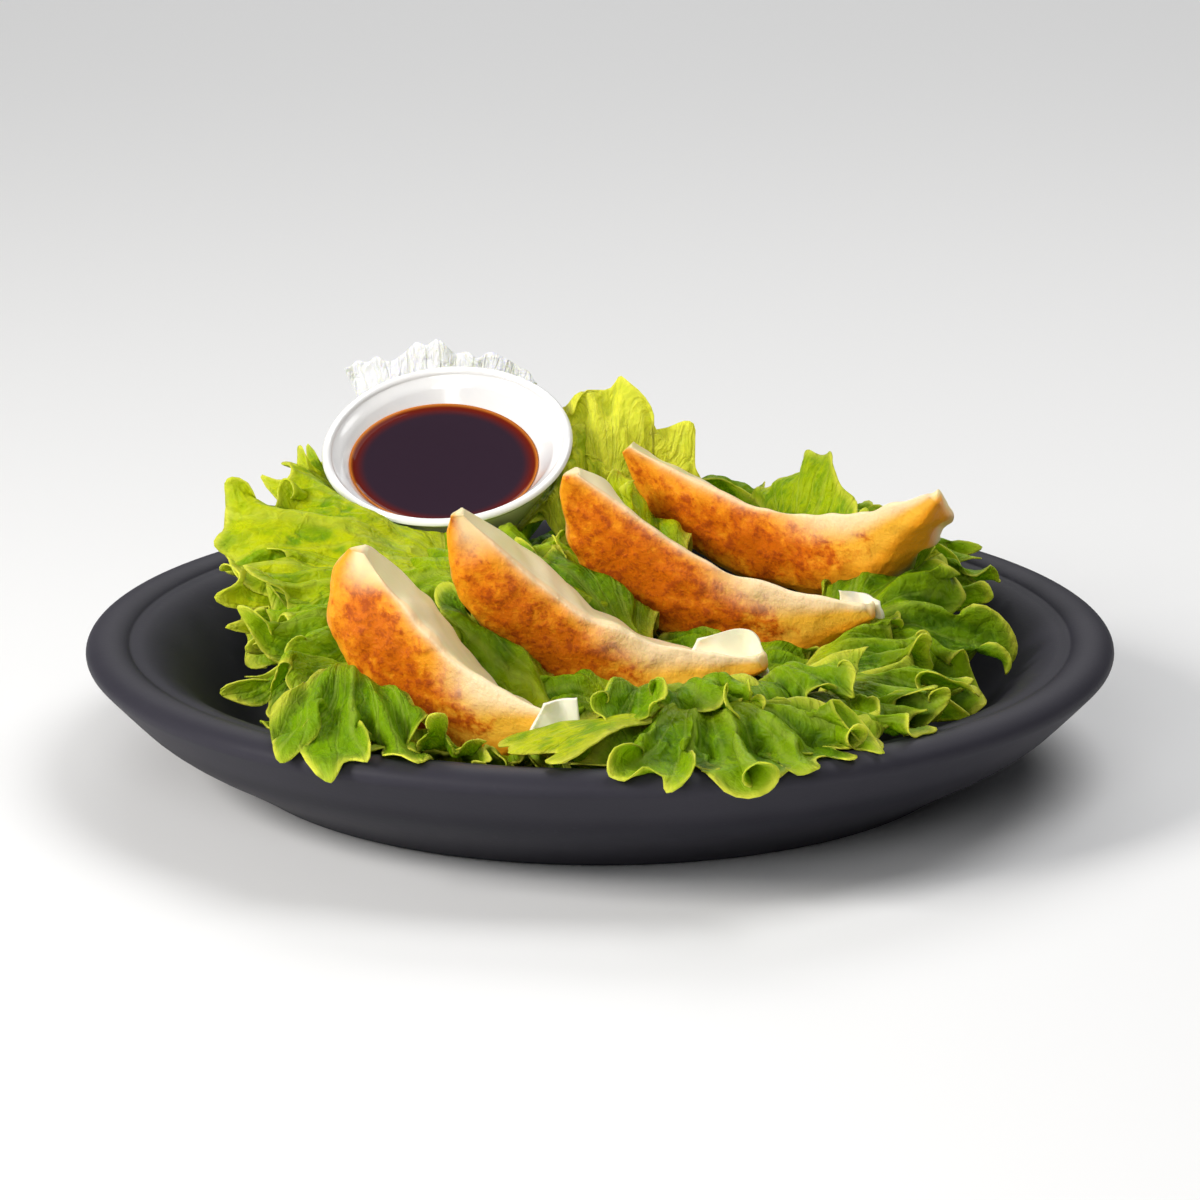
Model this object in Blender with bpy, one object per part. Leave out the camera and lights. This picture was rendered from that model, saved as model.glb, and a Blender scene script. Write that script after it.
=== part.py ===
"""Plated gyoza: four pan-fried dumplings and a dip bowl of soy sauce on frilly lettuce.

Lengths below are millimetres and angles degrees; the mesh makers turn them into metres.
The plate stands on z = 0, centred on the origin, and the dish is meant to be seen from -Y.
"""
import math

import bmesh
import bpy
from mathutils import Matrix, Vector, noise
from mathutils.bvhtree import BVHTree

MM = 0.001
GAP = 0.4

# Plate: a low, thick-walled dish with a broad soft rim.
PLATE_RADIUS = 130.0
PLATE_HEIGHT = 34.0
PLATE_FOOT_RADIUS = 92.0
PLATE_FLOOR = 9.5
PLATE_FOOT_WIDTH = 10.0
PLATE_FOOT_RECESS = 3.2
PLATE_FLOOR_RADIUS = 84.0
PLATE_SHOULDER_RADIUS = 115.5
PLATE_SHOULDER_HEIGHT = 14.0
RIM_WIDTH = 12.0
PLATE_SEGMENTS = 52

# Dip bowl: measured along its own axis, from the foot up.
BOWL_RADIUS = 32.5
BOWL_HEIGHT = 24.0
BOWL_FOOT_RADIUS = 16.0
BOWL_WALL = 2.6
BOWL_FLARE = 0.8
BOWL_FLOOR = 4.2
BOWL_FOOT_CENTRE = (-37.9, 45.0, 52.0)
BOWL_LEAN = 25.0
BOWL_LEAN_LEFT = 4.0
BOWL_SEGMENTS = 36
SAUCE_DEPTH_BELOW_RIM = 7.3
SAUCE_UNCUT_HEIGHT = 21.0
SAUCE_SEGMENTS = 30

# Gyoza: a curved spine along the browned base, with the sealed seam opposite the base.
GYOZA_SECTIONS = 19
TAIL_WIDTH = 0.16
TAIL_CORNER = 0.55
TAIL_HEIGHT = 0.17
SEAM_THICKNESS = 1.4
PLEATS = 8
PLEAT_DEPTH = 1.1

# Each dumpling: middle of the base, the way the base faces (turn about Z, tip towards
# the table, roll in its own plane), spine radius, half angle, half width and height.
# Then, at the left end and at the tail: slack, the power by which the hollow side falls
# to the seam (below 1 it bulges, above 1 it caves in), and tuck, how far the seam lies
# off the spine towards the bulging side.
GYOZA = (
    dict(centre=(-42.8, -78.0, 40.0), turn=-28, tip=7, roll=-35, spine=36.0, half_angle=62,
         width=14.0, height=25.0, slack=(0.5, 1.25), tuck=(0, 4)),
    dict(centre=(-5.7, -48.0, 40.6), turn=-14, tip=14, roll=-26, spine=50.7, half_angle=54,
         width=12.0, height=24.5, slack=(0.55, 1.3), tuck=(0, 5)),
    dict(centre=(23.9, -14.0, 43.5), turn=-20, tip=17, roll=-23, spine=51.2, half_angle=53,
         width=13.1, height=24.5, slack=(0.8, 1.5), tuck=(3, 6)),
    dict(centre=(46.6, 16.0, 49.9), turn=-28, tip=14, roll=-2, spine=53.5, half_angle=54,
         width=11.5, height=24.2, slack=(0.8, 1.4), tuck=(2, 6)),
)

# Lettuce leaves, from the topmost down. Each is a fan that opens from its root.
LEAF_THICKNESS = 1.5
LEAF_ROOT_SHARE = 0.12
LEAF_CLEAR_REACH = 6.0
ROOF_RISE = 1.2
LEAF_RINGS = 4
LEAF_SPOKES = 17
NARROW_LEAF_SPOKES = 11
LEAVES = (
    dict(name="leaf_tail", root=(62, 15, 43), end=(86, 32, 61), spread=70, roll=10,
         arch=2, ruffle=2.5, waves=2.5, phase=0.4, side=0.8),
    dict(name="leaf_stalk", root=(10, -89, 35), end=(-21, -108, 38), spread=48, roll=-18,
         arch=3, ruffle=0.8, waves=1.5, phase=0.0, side=0.88),
    dict(name="leaf_front", root=(24, -84, 36), end=(36, -126, 26), spread=120, roll=0,
         arch=11, ruffle=4.5, waves=4.0, phase=0.6, side=0.92),
    dict(name="leaf_left_low", root=(-60, -62, 42), end=(-70, -112, 30), spread=54, roll=0,
         arch=12, ruffle=3.5, waves=2.5, phase=0.2, side=0.84),
    dict(name="leaf_fold", root=(-34, -88, 22), end=(-42, -108, 38), spread=76, roll=0,
         arch=3, ruffle=2.0, waves=2.5, phase=1.2, side=0.8),
    dict(name="leaf_left", root=(-38, -2, 50), end=(-94, 6, 58), spread=140, roll=-20,
         arch=6, ruffle=4.5, waves=4.0, phase=0.9, side=0.92),
    dict(name="leaf_left_middle", root=(-50, -30, 38), end=(-85, -50, 38), spread=90,
         roll=-10, arch=6, ruffle=4.0, waves=3.5, phase=0.3, side=0.8),
    dict(name="leaf_right", root=(52, -16, 34), end=(102, -7, 35), spread=146, roll=24,
         arch=9, ruffle=5.0, waves=4.0, phase=0.1, side=0.92),
    dict(name="leaf_behind_bowl", root=(-44, 62, 46), end=(-46, 77, 86), spread=90, roll=0,
         arch=-3, ruffle=1.6, waves=4.0, phase=0.5, side=0.9),
    dict(name="leaf_back_middle", root=(2, 22, 44), end=(9, 56, 87), spread=70, roll=0,
         arch=-3, ruffle=3.0, waves=2.5, phase=0.0, side=0.78),
    dict(name="leaf_back_right", root=(50, 36, 42), end=(64, 54, 66), spread=100, roll=-8,
         arch=3, ruffle=3.0, waves=2.5, phase=1.4, side=0.78),
    dict(name="leaf_rear_left", root=(-50, 72, 42), end=(-78, 92, 36), spread=120, roll=0,
         arch=10, ruffle=4.0, waves=3.5, phase=0.3, side=0.9),
    dict(name="leaf_rear", root=(4, 52, 54), end=(8, 103, 34), spread=130, roll=0,
         arch=10, ruffle=4.0, waves=3.5, phase=0.8, side=0.9),
    dict(name="leaf_rear_right", root=(53, 45, 46), end=(84, 74, 34), spread=106, roll=0,
         arch=8, ruffle=4.0, waves=3.5, phase=1.1, side=0.9),
)

# Heap of torn lettuce under everything.
HEAP_CENTRE = (-4.0, -12.0)
HEAP_RADIUS_X = 78.0
HEAP_RADIUS_Y = 88.0
HEAP_RINGS = 8
HEAP_SPOKES = 26
HEAP_FRONT_TOP = 24.0
HEAP_SLOPE = 0.27
HEAP_CREST_Y = 48.0
HEAP_BACK_SLOPE = 0.75
HEAP_CLEARANCE = 1.6
HEAP_CLEAR_REACH = 10.0
HEAP_EDGE_START = 0.7


def clear_scene():
    for obj in list(bpy.data.objects):
        bpy.data.objects.remove(obj)


def principled(name, colour, roughness):
    material = bpy.data.materials.new(name)
    material.use_nodes = True
    shader = material.node_tree.nodes["Principled BSDF"]
    shader.inputs["Base Color"].default_value = (*colour, 1.0)
    shader.inputs["Roughness"].default_value = roughness
    shader.inputs["Metallic"].default_value = 0.0
    material.diffuse_color = (*colour, 1.0)
    return material


def add_object(name, bm, material):
    """Turns a bmesh in millimetres into a closed, smooth object in metres."""
    bmesh.ops.recalc_face_normals(bm, faces=bm.faces)
    bmesh.ops.triangulate(bm, faces=[f for f in bm.faces if len(f.verts) > 3])
    bmesh.ops.scale(bm, vec=(MM, MM, MM), verts=bm.verts)
    mesh = bpy.data.meshes.new(name)
    bm.to_mesh(mesh)
    bm.free()
    mesh.shade_smooth()
    mesh.set_sharp_from_angle(angle=math.radians(50))
    mesh.materials.append(material)
    obj = bpy.data.objects.new(name, mesh)
    bpy.context.scene.collection.objects.link(obj)
    return obj


def turned(profile, segments):
    """Spins an outline of (radius, height) points, which begins and ends on the axis."""
    bm = bmesh.new()
    verts = [bm.verts.new((radius, 0.0, height)) for radius, height in profile]
    edges = [bm.edges.new(pair) for pair in zip(verts, verts[1:])]
    bmesh.ops.spin(bm, geom=verts + edges, cent=(0, 0, 0), axis=(0, 0, 1),
                   angle=math.tau, steps=segments, use_merge=True)
    bmesh.ops.remove_doubles(bm, verts=bm.verts, dist=0.001)
    return bm


def arc(centre, radius_x, radius_z, start, stop, steps):
    """Points of an elliptical arc in the outline plane."""
    points = []
    for i in range(steps + 1):
        angle = math.radians(start + (stop - start) * i / steps)
        points.append((centre[0] + radius_x * math.cos(angle),
                       centre[1] + radius_z * math.sin(angle)))
    return points


def smoothstep(t):
    t = min(max(t, 0.0), 1.0)
    return t * t * (3 - 2 * t)


def between(ends, t):
    return ends[0] + (ends[1] - ends[0]) * t


# ---------------------------------------------------------------- plate

def plate_inside(radius):
    """Height of the plate's upper surface at a distance from its middle."""
    inner_edge = PLATE_RADIUS - RIM_WIDTH
    t = (radius - PLATE_FLOOR_RADIUS) / (inner_edge - PLATE_FLOOR_RADIUS)
    return PLATE_FLOOR + (PLATE_HEIGHT - 1.5 - PLATE_FLOOR) * smoothstep(t)


def plate_profile():
    half_rim = RIM_WIDTH / 2
    rim_centre = (PLATE_RADIUS - half_rim, PLATE_HEIGHT - 3.4)
    recess_radius = PLATE_FOOT_RADIUS - PLATE_FOOT_WIDTH
    outline = [(0, PLATE_FOOT_RECESS), (recess_radius - 3, PLATE_FOOT_RECESS),
               (recess_radius, 0), (PLATE_FOOT_RADIUS - 1.5, 0), (PLATE_FOOT_RADIUS, 0.8),
               (PLATE_SHOULDER_RADIUS, PLATE_SHOULDER_HEIGHT)]
    outline += arc(rim_centre, half_rim, 3.4, -25, 155, 6)
    steps = 5
    inner_edge = outline[-1][0]
    for i in range(1, steps + 1):
        radius = inner_edge + (PLATE_FLOOR_RADIUS - inner_edge) * i / steps
        outline.append((radius, plate_inside(radius)))
    outline.append((0, PLATE_FLOOR))
    return outline


def make_plate():
    glaze = principled("charcoal_glaze", (0.045, 0.044, 0.056), 0.55)
    return add_object("plate", turned(plate_profile(), PLATE_SEGMENTS), glaze)


# ---------------------------------------------------------------- dip bowl and sauce

def bowl_outer(height):
    """Outer radius of the bowl at a height above its foot."""
    t = height / BOWL_HEIGHT
    return BOWL_FOOT_RADIUS + (BOWL_RADIUS - BOWL_FOOT_RADIUS) * t ** BOWL_FLARE


def bowl_inner(height):
    """Inner radius: the wall is three times as thick at the foot as at the rim."""
    return bowl_outer(height) - BOWL_WALL * (3.0 - 2.0 * height / BOWL_HEIGHT)


def bowl_floor_radius():
    """Radius of the flat inside the bowl, before its wall curves up."""
    return bowl_inner(BOWL_FLOOR) - 2.6


def bowl_profile():
    lip = BOWL_WALL / 2
    outline = [(0, 1.2), (BOWL_FOOT_RADIUS - 3.5, 1.2), (BOWL_FOOT_RADIUS - 2.8, 0),
               (BOWL_FOOT_RADIUS - 0.4, 0)]
    for height in (1.5, 5.0, 11.0, 18.0):
        outline.append((bowl_outer(height), height))
    outline += arc((BOWL_RADIUS - lip, BOWL_HEIGHT - lip), lip, lip, 0, 180, 3)
    for height in (18.0, 11.0, 6.5):
        outline.append((bowl_inner(height), height))
    outline += [(bowl_floor_radius(), BOWL_FLOOR), (0, BOWL_FLOOR)]
    return outline


def sauce_profile():
    """Fills the bowl, a gap off its wall, to above the sauce's level."""
    bottom = BOWL_FLOOR + GAP
    outline = [(0, bottom), (bowl_floor_radius() - GAP, bottom)]
    for height in (6.5, 11.0, 15.0, 18.0, SAUCE_UNCUT_HEIGHT):
        outline.append((bowl_inner(height) - 1.5 * GAP, height))
    outline.append((0, SAUCE_UNCUT_HEIGHT))
    return outline


def cut_to_level(bm):
    """Takes off the sauce above its surface, which lies level across a bowl that leans."""
    tilt = math.radians(BOWL_LEAN_LEFT)
    cut = bmesh.ops.bisect_plane(
        bm, geom=bm.verts[:] + bm.edges[:] + bm.faces[:], clear_outer=True,
        plane_co=(0, 0, BOWL_HEIGHT - SAUCE_DEPTH_BELOW_RIM),
        plane_no=(math.sin(tilt), 0, math.cos(tilt)))
    rim = [item for item in cut["geom_cut"] if isinstance(item, bmesh.types.BMEdge)]
    bmesh.ops.contextual_create(bm, geom=rim)


def bowl_placement():
    return (Matrix.Translation(Vector(BOWL_FOOT_CENTRE))
            @ Matrix.Rotation(math.radians(BOWL_LEAN), 4, "X")
            @ Matrix.Rotation(math.radians(-BOWL_LEAN_LEFT), 4, "Y"))


def make_bowl_and_sauce():
    porcelain = principled("white_porcelain", (0.88, 0.86, 0.85), 0.15)
    soy = principled("soy_sauce", (0.022, 0.010, 0.008), 0.08)
    made = []
    for name, profile, segments, material in (
            ("dip_bowl", bowl_profile(), BOWL_SEGMENTS, porcelain),
            ("soy_sauce", sauce_profile(), SAUCE_SEGMENTS, soy)):
        bm = turned(profile, segments)
        if name == "soy_sauce":
            cut_to_level(bm)
        bmesh.ops.transform(bm, matrix=bowl_placement(), verts=bm.verts)
        made.append(add_object(name, bm, material))
    return made


# ---------------------------------------------------------------- gyoza

def gyoza_widths(gyoza, along):
    """Half widths of the base on its hollow and its bulging side at along = -1..1.

    The left end is blunt. On the right the bulging side keeps its width up to a corner
    and then runs straight to the tail.
    """
    inner = 1 - abs(along) ** (3.0 if along < 0 else 2.4)
    if along < TAIL_CORNER:
        outer = 1 - abs(along) ** 3.0 if along < 0 else 1 - 0.08 * (along / TAIL_CORNER) ** 2
    else:
        outer = 0.92 * (1 - along) / (1 - TAIL_CORNER)
    return tuple(gyoza["width"] * (TAIL_WIDTH + (1 - TAIL_WIDTH) * share)
                 for share in (inner, outer))


def gyoza_section(gyoza, along):
    """Points of the cross-section at along = -1..1, as (across, height) pairs.

    The section starts at the base's inner corner, runs over the pale smooth side to
    the seam, comes back down the pleated side and crosses the browned base.
    """
    inner, outer = gyoza_widths(gyoza, along)
    height = gyoza["height"] * (TAIL_HEIGHT + (1 - TAIL_HEIGHT) * (1 - abs(along) ** 2.5))
    seam = SEAM_THICKNESS / 2
    pleat = PLEAT_DEPTH * (1 - along ** 2) * math.cos(math.pi * PLEATS * along)
    slack = between(gyoza["slack"], smoothstep((along + 0.5) / 1.1))
    tuck = between(gyoza["tuck"], smoothstep((along + 0.3) / 0.9)) * (1 - along ** 8)
    levels = (0.06, 0.3, 0.58, 0.82, 1.0)
    points = []
    for level in levels:
        across = seam + (inner - seam) * (1 - level) ** slack
        points.append((across - tuck * level, -height * level))
    for level in reversed(levels):
        bulge = (1 - level ** 2.1) * (1 + 0.26 * math.sin(math.pi * level))
        fold = pleat * math.sin(math.pi * min(level * 1.15, 1.0))
        across = -seam - (outer - seam) * bulge - fold
        points.append((across - tuck * level, -height * level))
    points += [(-outer * 0.9, 0.0), (inner * 0.9, 0.0)]
    return points


def gyoza_placement(gyoza):
    return (Matrix.Translation(Vector(gyoza["centre"]))
            @ Matrix.Rotation(math.radians(gyoza["turn"]), 4, "Z")
            @ Matrix.Rotation(math.radians(90 + gyoza["tip"]), 4, "X")
            @ Matrix.Rotation(math.radians(gyoza["roll"]), 4, "Z"))


def make_gyoza(name, gyoza, material):
    bm = bmesh.new()
    rings = []
    for i in range(GYOZA_SECTIONS):
        along = 2 * i / (GYOZA_SECTIONS - 1) - 1
        angle = math.radians(gyoza["half_angle"]) * along
        ring = []
        for across, height in gyoza_section(gyoza, along):
            reach = gyoza["spine"] - across
            ring.append(bm.verts.new((reach * math.sin(angle),
                                      gyoza["spine"] - reach * math.cos(angle), height)))
        rings.append(ring)
    for first, second in zip(rings, rings[1:]):
        for j in range(len(first)):
            k = (j + 1) % len(first)
            bm.faces.new((first[j], first[k], second[k], second[j]))
    bm.faces.new(rings[0])
    bm.faces.new(rings[-1])
    bmesh.ops.transform(bm, matrix=gyoza_placement(gyoza), verts=bm.verts)
    return add_object(name, bm, material)


# ---------------------------------------------------------------- lettuce

class Overhead:
    """Finds how low the things already placed hang over a spot."""

    def __init__(self, objects):
        points, faces = [], []
        for obj in objects:
            start = len(points)
            points += [vert.co / MM for vert in obj.data.vertices]
            faces += [[start + v for v in face.vertices] for face in obj.data.polygons]
        self.tree = BVHTree.FromPolygons(points, faces)

    def roof(self, x, y, near):
        """Height that stays under everything, and rises slowly beyond a distance."""
        roof = 1000.0
        for ring in range(6):
            distance = near * ring / 2
            allowed = ROOF_RISE * max(0.0, distance - near)
            for k in range(12 if ring else 1):
                angle = math.tau * (k + 0.5 * (ring % 2)) / 12
                start = Vector((x + distance * math.cos(angle),
                                y + distance * math.sin(angle), -20.0))
                hit = self.tree.ray_cast(start, Vector((0, 0, 1)))
                if hit[0]:
                    roof = min(roof, hit[0].z + allowed)
        return roof


def plate_clear(x, y, reach):
    """Lowest height that clears the plate within a distance of (x, y)."""
    radius = math.hypot(x, y)
    if radius < PLATE_RADIUS - RIM_WIDTH - reach:
        return plate_inside(radius + reach)
    return PLATE_HEIGHT - 1.2 * max(0.0, radius - PLATE_RADIUS - 1.0)


def leaf_reach(leaf, turn):
    """Length of the leaf, as a share of its middle, at turn = -1..1 across the fan."""
    outline = 1 + (leaf["side"] - 1) * abs(turn) ** 1.6
    lobes = 0.07 * math.sin(4.3 * turn * leaf["waves"] / 2 + 2 * leaf["phase"])
    return outline * (1 + lobes)


def leaf_point(leaf, turn, out):
    """Point of the leaf's middle surface: turn = -1..1 across, out = 0..1 to the edge."""
    root, end = Vector(leaf["root"]), Vector(leaf["end"])
    axis = (end - root).normalized()
    side = axis.cross(Vector((0, 0, 1))).normalized()
    side = Matrix.Rotation(math.radians(leaf["roll"]), 3, axis) @ side
    up = side.cross(axis)
    angle = math.radians(leaf["spread"]) / 2 * turn
    reach = (end - root).length * out * leaf_reach(leaf, turn)
    wave = math.pi * leaf["waves"] * turn + leaf["phase"] + 1.1 * out
    lift = leaf["arch"] * math.sin(math.pi * out) * (1 - 0.35 * turn * turn)
    lift += leaf["ruffle"] * out ** 2 * math.sin(wave)
    sway = 0.35 * leaf["ruffle"] * out ** 3 * math.sin(2 * wave)
    return (root + axis * reach * math.cos(angle) + up * lift
            + side * (reach * math.sin(angle) + sway * math.cos(angle)))


def settle(point, overhead, reach, thickness):
    """Keeps a point of a sheet above the plate and under what lies on it."""
    roof = overhead.roof(point.x, point.y, reach) - GAP - thickness / 2
    floor = plate_clear(point.x, point.y, reach) + GAP + thickness / 2
    return Vector((point.x, point.y, max(min(point.z, roof), floor)))


def sheet(points, thickness):
    """Closes a grid of middle points, with shared root points, into a thin solid."""
    rows, cols = len(points), len(points[0])
    bm = bmesh.new()
    normals = []
    for i in range(rows):
        normals.append([])
        for j in range(cols):
            along = points[min(i + 1, rows - 1)][j] - points[max(i - 1, 0)][j]
            across = points[i][min(j + 1, cols - 1)] - points[i][max(j - 1, 0)]
            normals[i].append(across.cross(along).normalized())
    layers = []
    for sign in (1, -1):
        layers.append([[bm.verts.new(points[i][j] + normals[i][j] * sign * thickness / 2)
                        for j in range(cols)] for i in range(rows)])
    for layer in layers:
        for i in range(rows - 1):
            for j in range(cols - 1):
                bm.faces.new((layer[i][j], layer[i][j + 1], layer[i + 1][j + 1], layer[i + 1][j]))
    border = [(0, j) for j in range(cols - 1)] + [(i, cols - 1) for i in range(rows - 1)]
    border += [(rows - 1, j) for j in range(cols - 1, 0, -1)]
    border += [(i, 0) for i in range(rows - 1, 0, -1)]
    for (a, b), (c, d) in zip(border, border[1:] + border[:1]):
        bm.faces.new((layers[0][a][b], layers[0][c][d], layers[1][c][d], layers[1][a][b]))
    return bm


def make_leaf(leaf, overhead, material):
    spokes = LEAF_SPOKES if leaf["spread"] > 80 else NARROW_LEAF_SPOKES
    points = []
    for i in range(LEAF_RINGS + 1):
        out = LEAF_ROOT_SHARE + (1 - LEAF_ROOT_SHARE) * (i / LEAF_RINGS) ** 0.85
        row = []
        for j in range(spokes):
            turn = 2 * j / (spokes - 1) - 1
            middle = leaf_point(leaf, turn, out)
            row.append(settle(middle, overhead, LEAF_CLEAR_REACH, LEAF_THICKNESS))
        points.append(row)
    return add_object(leaf["name"], sheet(points, LEAF_THICKNESS), material)


def heap_top(x, y):
    """Height of the heap before what lies on it presses it down."""
    rise = HEAP_FRONT_TOP + HEAP_SLOPE * (y + 100)
    fall = HEAP_FRONT_TOP + HEAP_SLOPE * (HEAP_CREST_Y + 100)
    fall -= HEAP_BACK_SLOPE * (y - HEAP_CREST_Y)
    crumple = 4.0 * noise.noise(Vector((x, y, 0.0)) / 16.0)
    return min(rise, fall) + crumple


def make_heap(overhead, material):
    bm = bmesh.new()
    layers = ([], [])
    for i in range(HEAP_RINGS + 1):
        share = i / HEAP_RINGS
        for layer in layers:
            layer.append([])
        for j in range(HEAP_SPOKES if i else 1):
            angle = math.tau * j / HEAP_SPOKES
            uneven = 1 + 0.06 * math.sin(5 * angle) + 0.04 * math.sin(8 * angle + 1)
            x = HEAP_CENTRE[0] + HEAP_RADIUS_X * uneven * share * math.cos(angle)
            y = HEAP_CENTRE[1] + HEAP_RADIUS_Y * uneven * share * math.sin(angle)
            bottom = plate_clear(x, y, 1.0) + GAP
            ceiling = overhead.roof(x, y, HEAP_CLEAR_REACH) - HEAP_CLEARANCE
            past = (share - HEAP_EDGE_START) / (1 - HEAP_EDGE_START)
            edge = 1 - 0.8 * smoothstep(past)
            top = min(bottom + 2.0 + (heap_top(x, y) - bottom - 2.0) * edge, ceiling)
            layers[0][-1].append(bm.verts.new((x, y, max(top, bottom + 1.0))))
            layers[1][-1].append(bm.verts.new((x, y, bottom)))
    for layer in layers:
        for j in range(HEAP_SPOKES):
            bm.faces.new((layer[0][0], layer[1][j], layer[1][(j + 1) % HEAP_SPOKES]))
        for first, second in zip(layer[1:], layer[2:]):
            for j in range(HEAP_SPOKES):
                k = (j + 1) % HEAP_SPOKES
                bm.faces.new((first[j], first[k], second[k], second[j]))
    for j in range(HEAP_SPOKES):
        k = (j + 1) % HEAP_SPOKES
        bm.faces.new((layers[0][-1][j], layers[0][-1][k], layers[1][-1][k], layers[1][-1][j]))
    return add_object("lettuce_heap", bm, material)


def main():
    clear_scene()
    make_plate()
    above = make_bowl_and_sauce()
    crust = principled("fried_wrapper", (0.62, 0.30, 0.07), 0.45)
    for number, gyoza in enumerate(GYOZA, 1):
        above.append(make_gyoza(f"gyoza_{number}", gyoza, crust))
    lettuce = principled("lettuce", (0.30, 0.42, 0.03), 0.5)
    for leaf in LEAVES:
        above.append(make_leaf(leaf, Overhead(above), lettuce))
    make_heap(Overhead(above), lettuce)


main()
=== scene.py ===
"""Plated gyoza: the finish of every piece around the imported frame.

Lengths in the shape functions are millimetres; meshes are made in metres.
"""
import math

import bmesh
import bpy
import numpy as np
from bpy.props import FloatProperty, FloatVectorProperty, IntProperty, PointerProperty
from mathutils import Matrix, Vector
from mathutils.bvhtree import BVHTree


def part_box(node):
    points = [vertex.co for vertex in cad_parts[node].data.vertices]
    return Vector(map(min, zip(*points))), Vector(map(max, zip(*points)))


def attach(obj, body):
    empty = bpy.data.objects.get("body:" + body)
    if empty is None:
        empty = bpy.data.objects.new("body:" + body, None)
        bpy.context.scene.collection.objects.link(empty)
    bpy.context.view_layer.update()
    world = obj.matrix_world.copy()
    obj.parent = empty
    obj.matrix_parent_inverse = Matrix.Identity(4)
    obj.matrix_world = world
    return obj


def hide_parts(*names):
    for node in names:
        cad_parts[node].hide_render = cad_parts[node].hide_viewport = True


bl_info = {
    "name": "Plated Gyoza",
    "version": (1, 0, 0),
    "blender": (4, 5, 0),
    "location": "View3D > Sidebar > Gyoza",
    "description": "Builds pan-fried dumplings on lettuce with a dip bowl on a plate",
    "category": "Add Mesh",
}

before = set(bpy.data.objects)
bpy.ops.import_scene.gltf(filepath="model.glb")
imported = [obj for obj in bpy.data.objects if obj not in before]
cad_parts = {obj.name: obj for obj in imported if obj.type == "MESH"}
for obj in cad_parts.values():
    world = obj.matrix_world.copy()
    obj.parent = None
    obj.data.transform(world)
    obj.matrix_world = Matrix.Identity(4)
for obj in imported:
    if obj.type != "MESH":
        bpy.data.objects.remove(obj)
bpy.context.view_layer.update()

MM = 0.001
PLATE_TOP_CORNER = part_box("plate")[1]
PLATE_RADIUS = PLATE_TOP_CORNER[0] / MM
PLATE_HEIGHT = PLATE_TOP_CORNER[2] / MM
GYOZA_NODES = ("gyoza_1", "gyoza_2", "gyoza_3", "gyoza_4")


# ================================================================ settings

def colour(name, description, value):
    return FloatVectorProperty(name=name, description=description, subtype="COLOR",
                               size=3, min=0.0, max=1.0, default=value)


def length(name, description, value):
    """A length in metres from a default in millimetres."""
    return FloatProperty(name=name, description=description, default=value * MM,
                         min=0.0, unit="LENGTH", precision=4)


class PlateSettings(bpy.types.PropertyGroup):
    foot_radius: length("Foot radius", "Radius of the ring the plate stands on", 92)
    floor: length("Floor", "Height of the flat middle", 9.5)
    floor_radius: length("Floor radius", "Radius of the flat middle", 84)
    rim_width: length("Rim width", "Width of the soft rounded rim", 12)
    segments: IntProperty(name="Segments", description="Facets around", default=192, min=24)
    glaze: colour("Glaze", "Charcoal glaze", (0.021, 0.020, 0.028))
    # This paler tone is the glaze's own in the mottle and specks, and a painted highlight on
    # the rim's top.
    pale_mottle_and_rim: colour("Mottle and rim highlight glaze", "Paler tone on the rim and in the mottle", (0.042, 0.040, 0.051))


class BowlSettings(bpy.types.PropertyGroup):
    radius: length("Radius", "Outer radius of the rim", 32.5)
    height: length("Height", "Height along the bowl's own axis", 24)
    foot_radius: length("Foot radius", "Radius of the foot", 16)
    wall: length("Wall", "Thickness of the wall at the rim", 2.6)
    lean: FloatProperty(name="Lean", description="Lean towards the front", subtype="ANGLE",
                        default=math.radians(25))
    lean_left: FloatProperty(name="Lean left", description="Lean towards the left",
                             subtype="ANGLE", default=math.radians(4))
    glaze: colour("Glaze", "White porcelain", (0.92, 0.91, 0.90))


class SauceSettings(bpy.types.PropertyGroup):
    below_rim: length("Below rim", "Depth of the surface under the rim", 7.3)
    # Deep is the sauce's own near-black, with a blue-purple tint that is a painted reflection
    # of the sky.
    deep: colour("Deep", "Sauce where it is deep", (0.030, 0.017, 0.028))
    thin: colour("Thin", "Sauce where it is shallow", (0.16, 0.012, 0.002))
    film: colour("Film", "Sauce creeping up the wall", (0.62, 0.20, 0.03))


class DumplingSettings(bpy.types.PropertyGroup):
    sections: IntProperty(name="Sections", description="Sections along a dumpling",
                          default=150, min=12)
    pleats: IntProperty(name="Pleats", description="Folds along the seam", default=9, min=0)
    pleat_depth: length("Pleat depth", "Depth of the folds", 1.8)
    golden: colour("Golden", "Lightly fried wrapper", (0.97, 0.36, 0.012))
    blond: colour("Blond", "Barely fried wrapper at the tail", (1.0, 0.51, 0.045))
    brown: colour("Brown", "Well fried wrapper", (0.70, 0.160, 0.003))
    scorched: colour("Scorched", "Darkest spots", (0.30, 0.030, 0.006))
    pale: colour("Pale", "Steamed wrapper", (1.0, 0.83, 0.50))
    dry: colour("Dry", "Loose wrapper at the tails", (0.96, 0.88, 0.74))
    # On the seam and the tail's top this colour is the wrapper's own; along the lip of the base
    # it is a painted highlight.
    cream_and_lip_highlight: colour("Cream", "Dry edge of the wrapper", (1.0, 0.77, 0.50))


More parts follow.
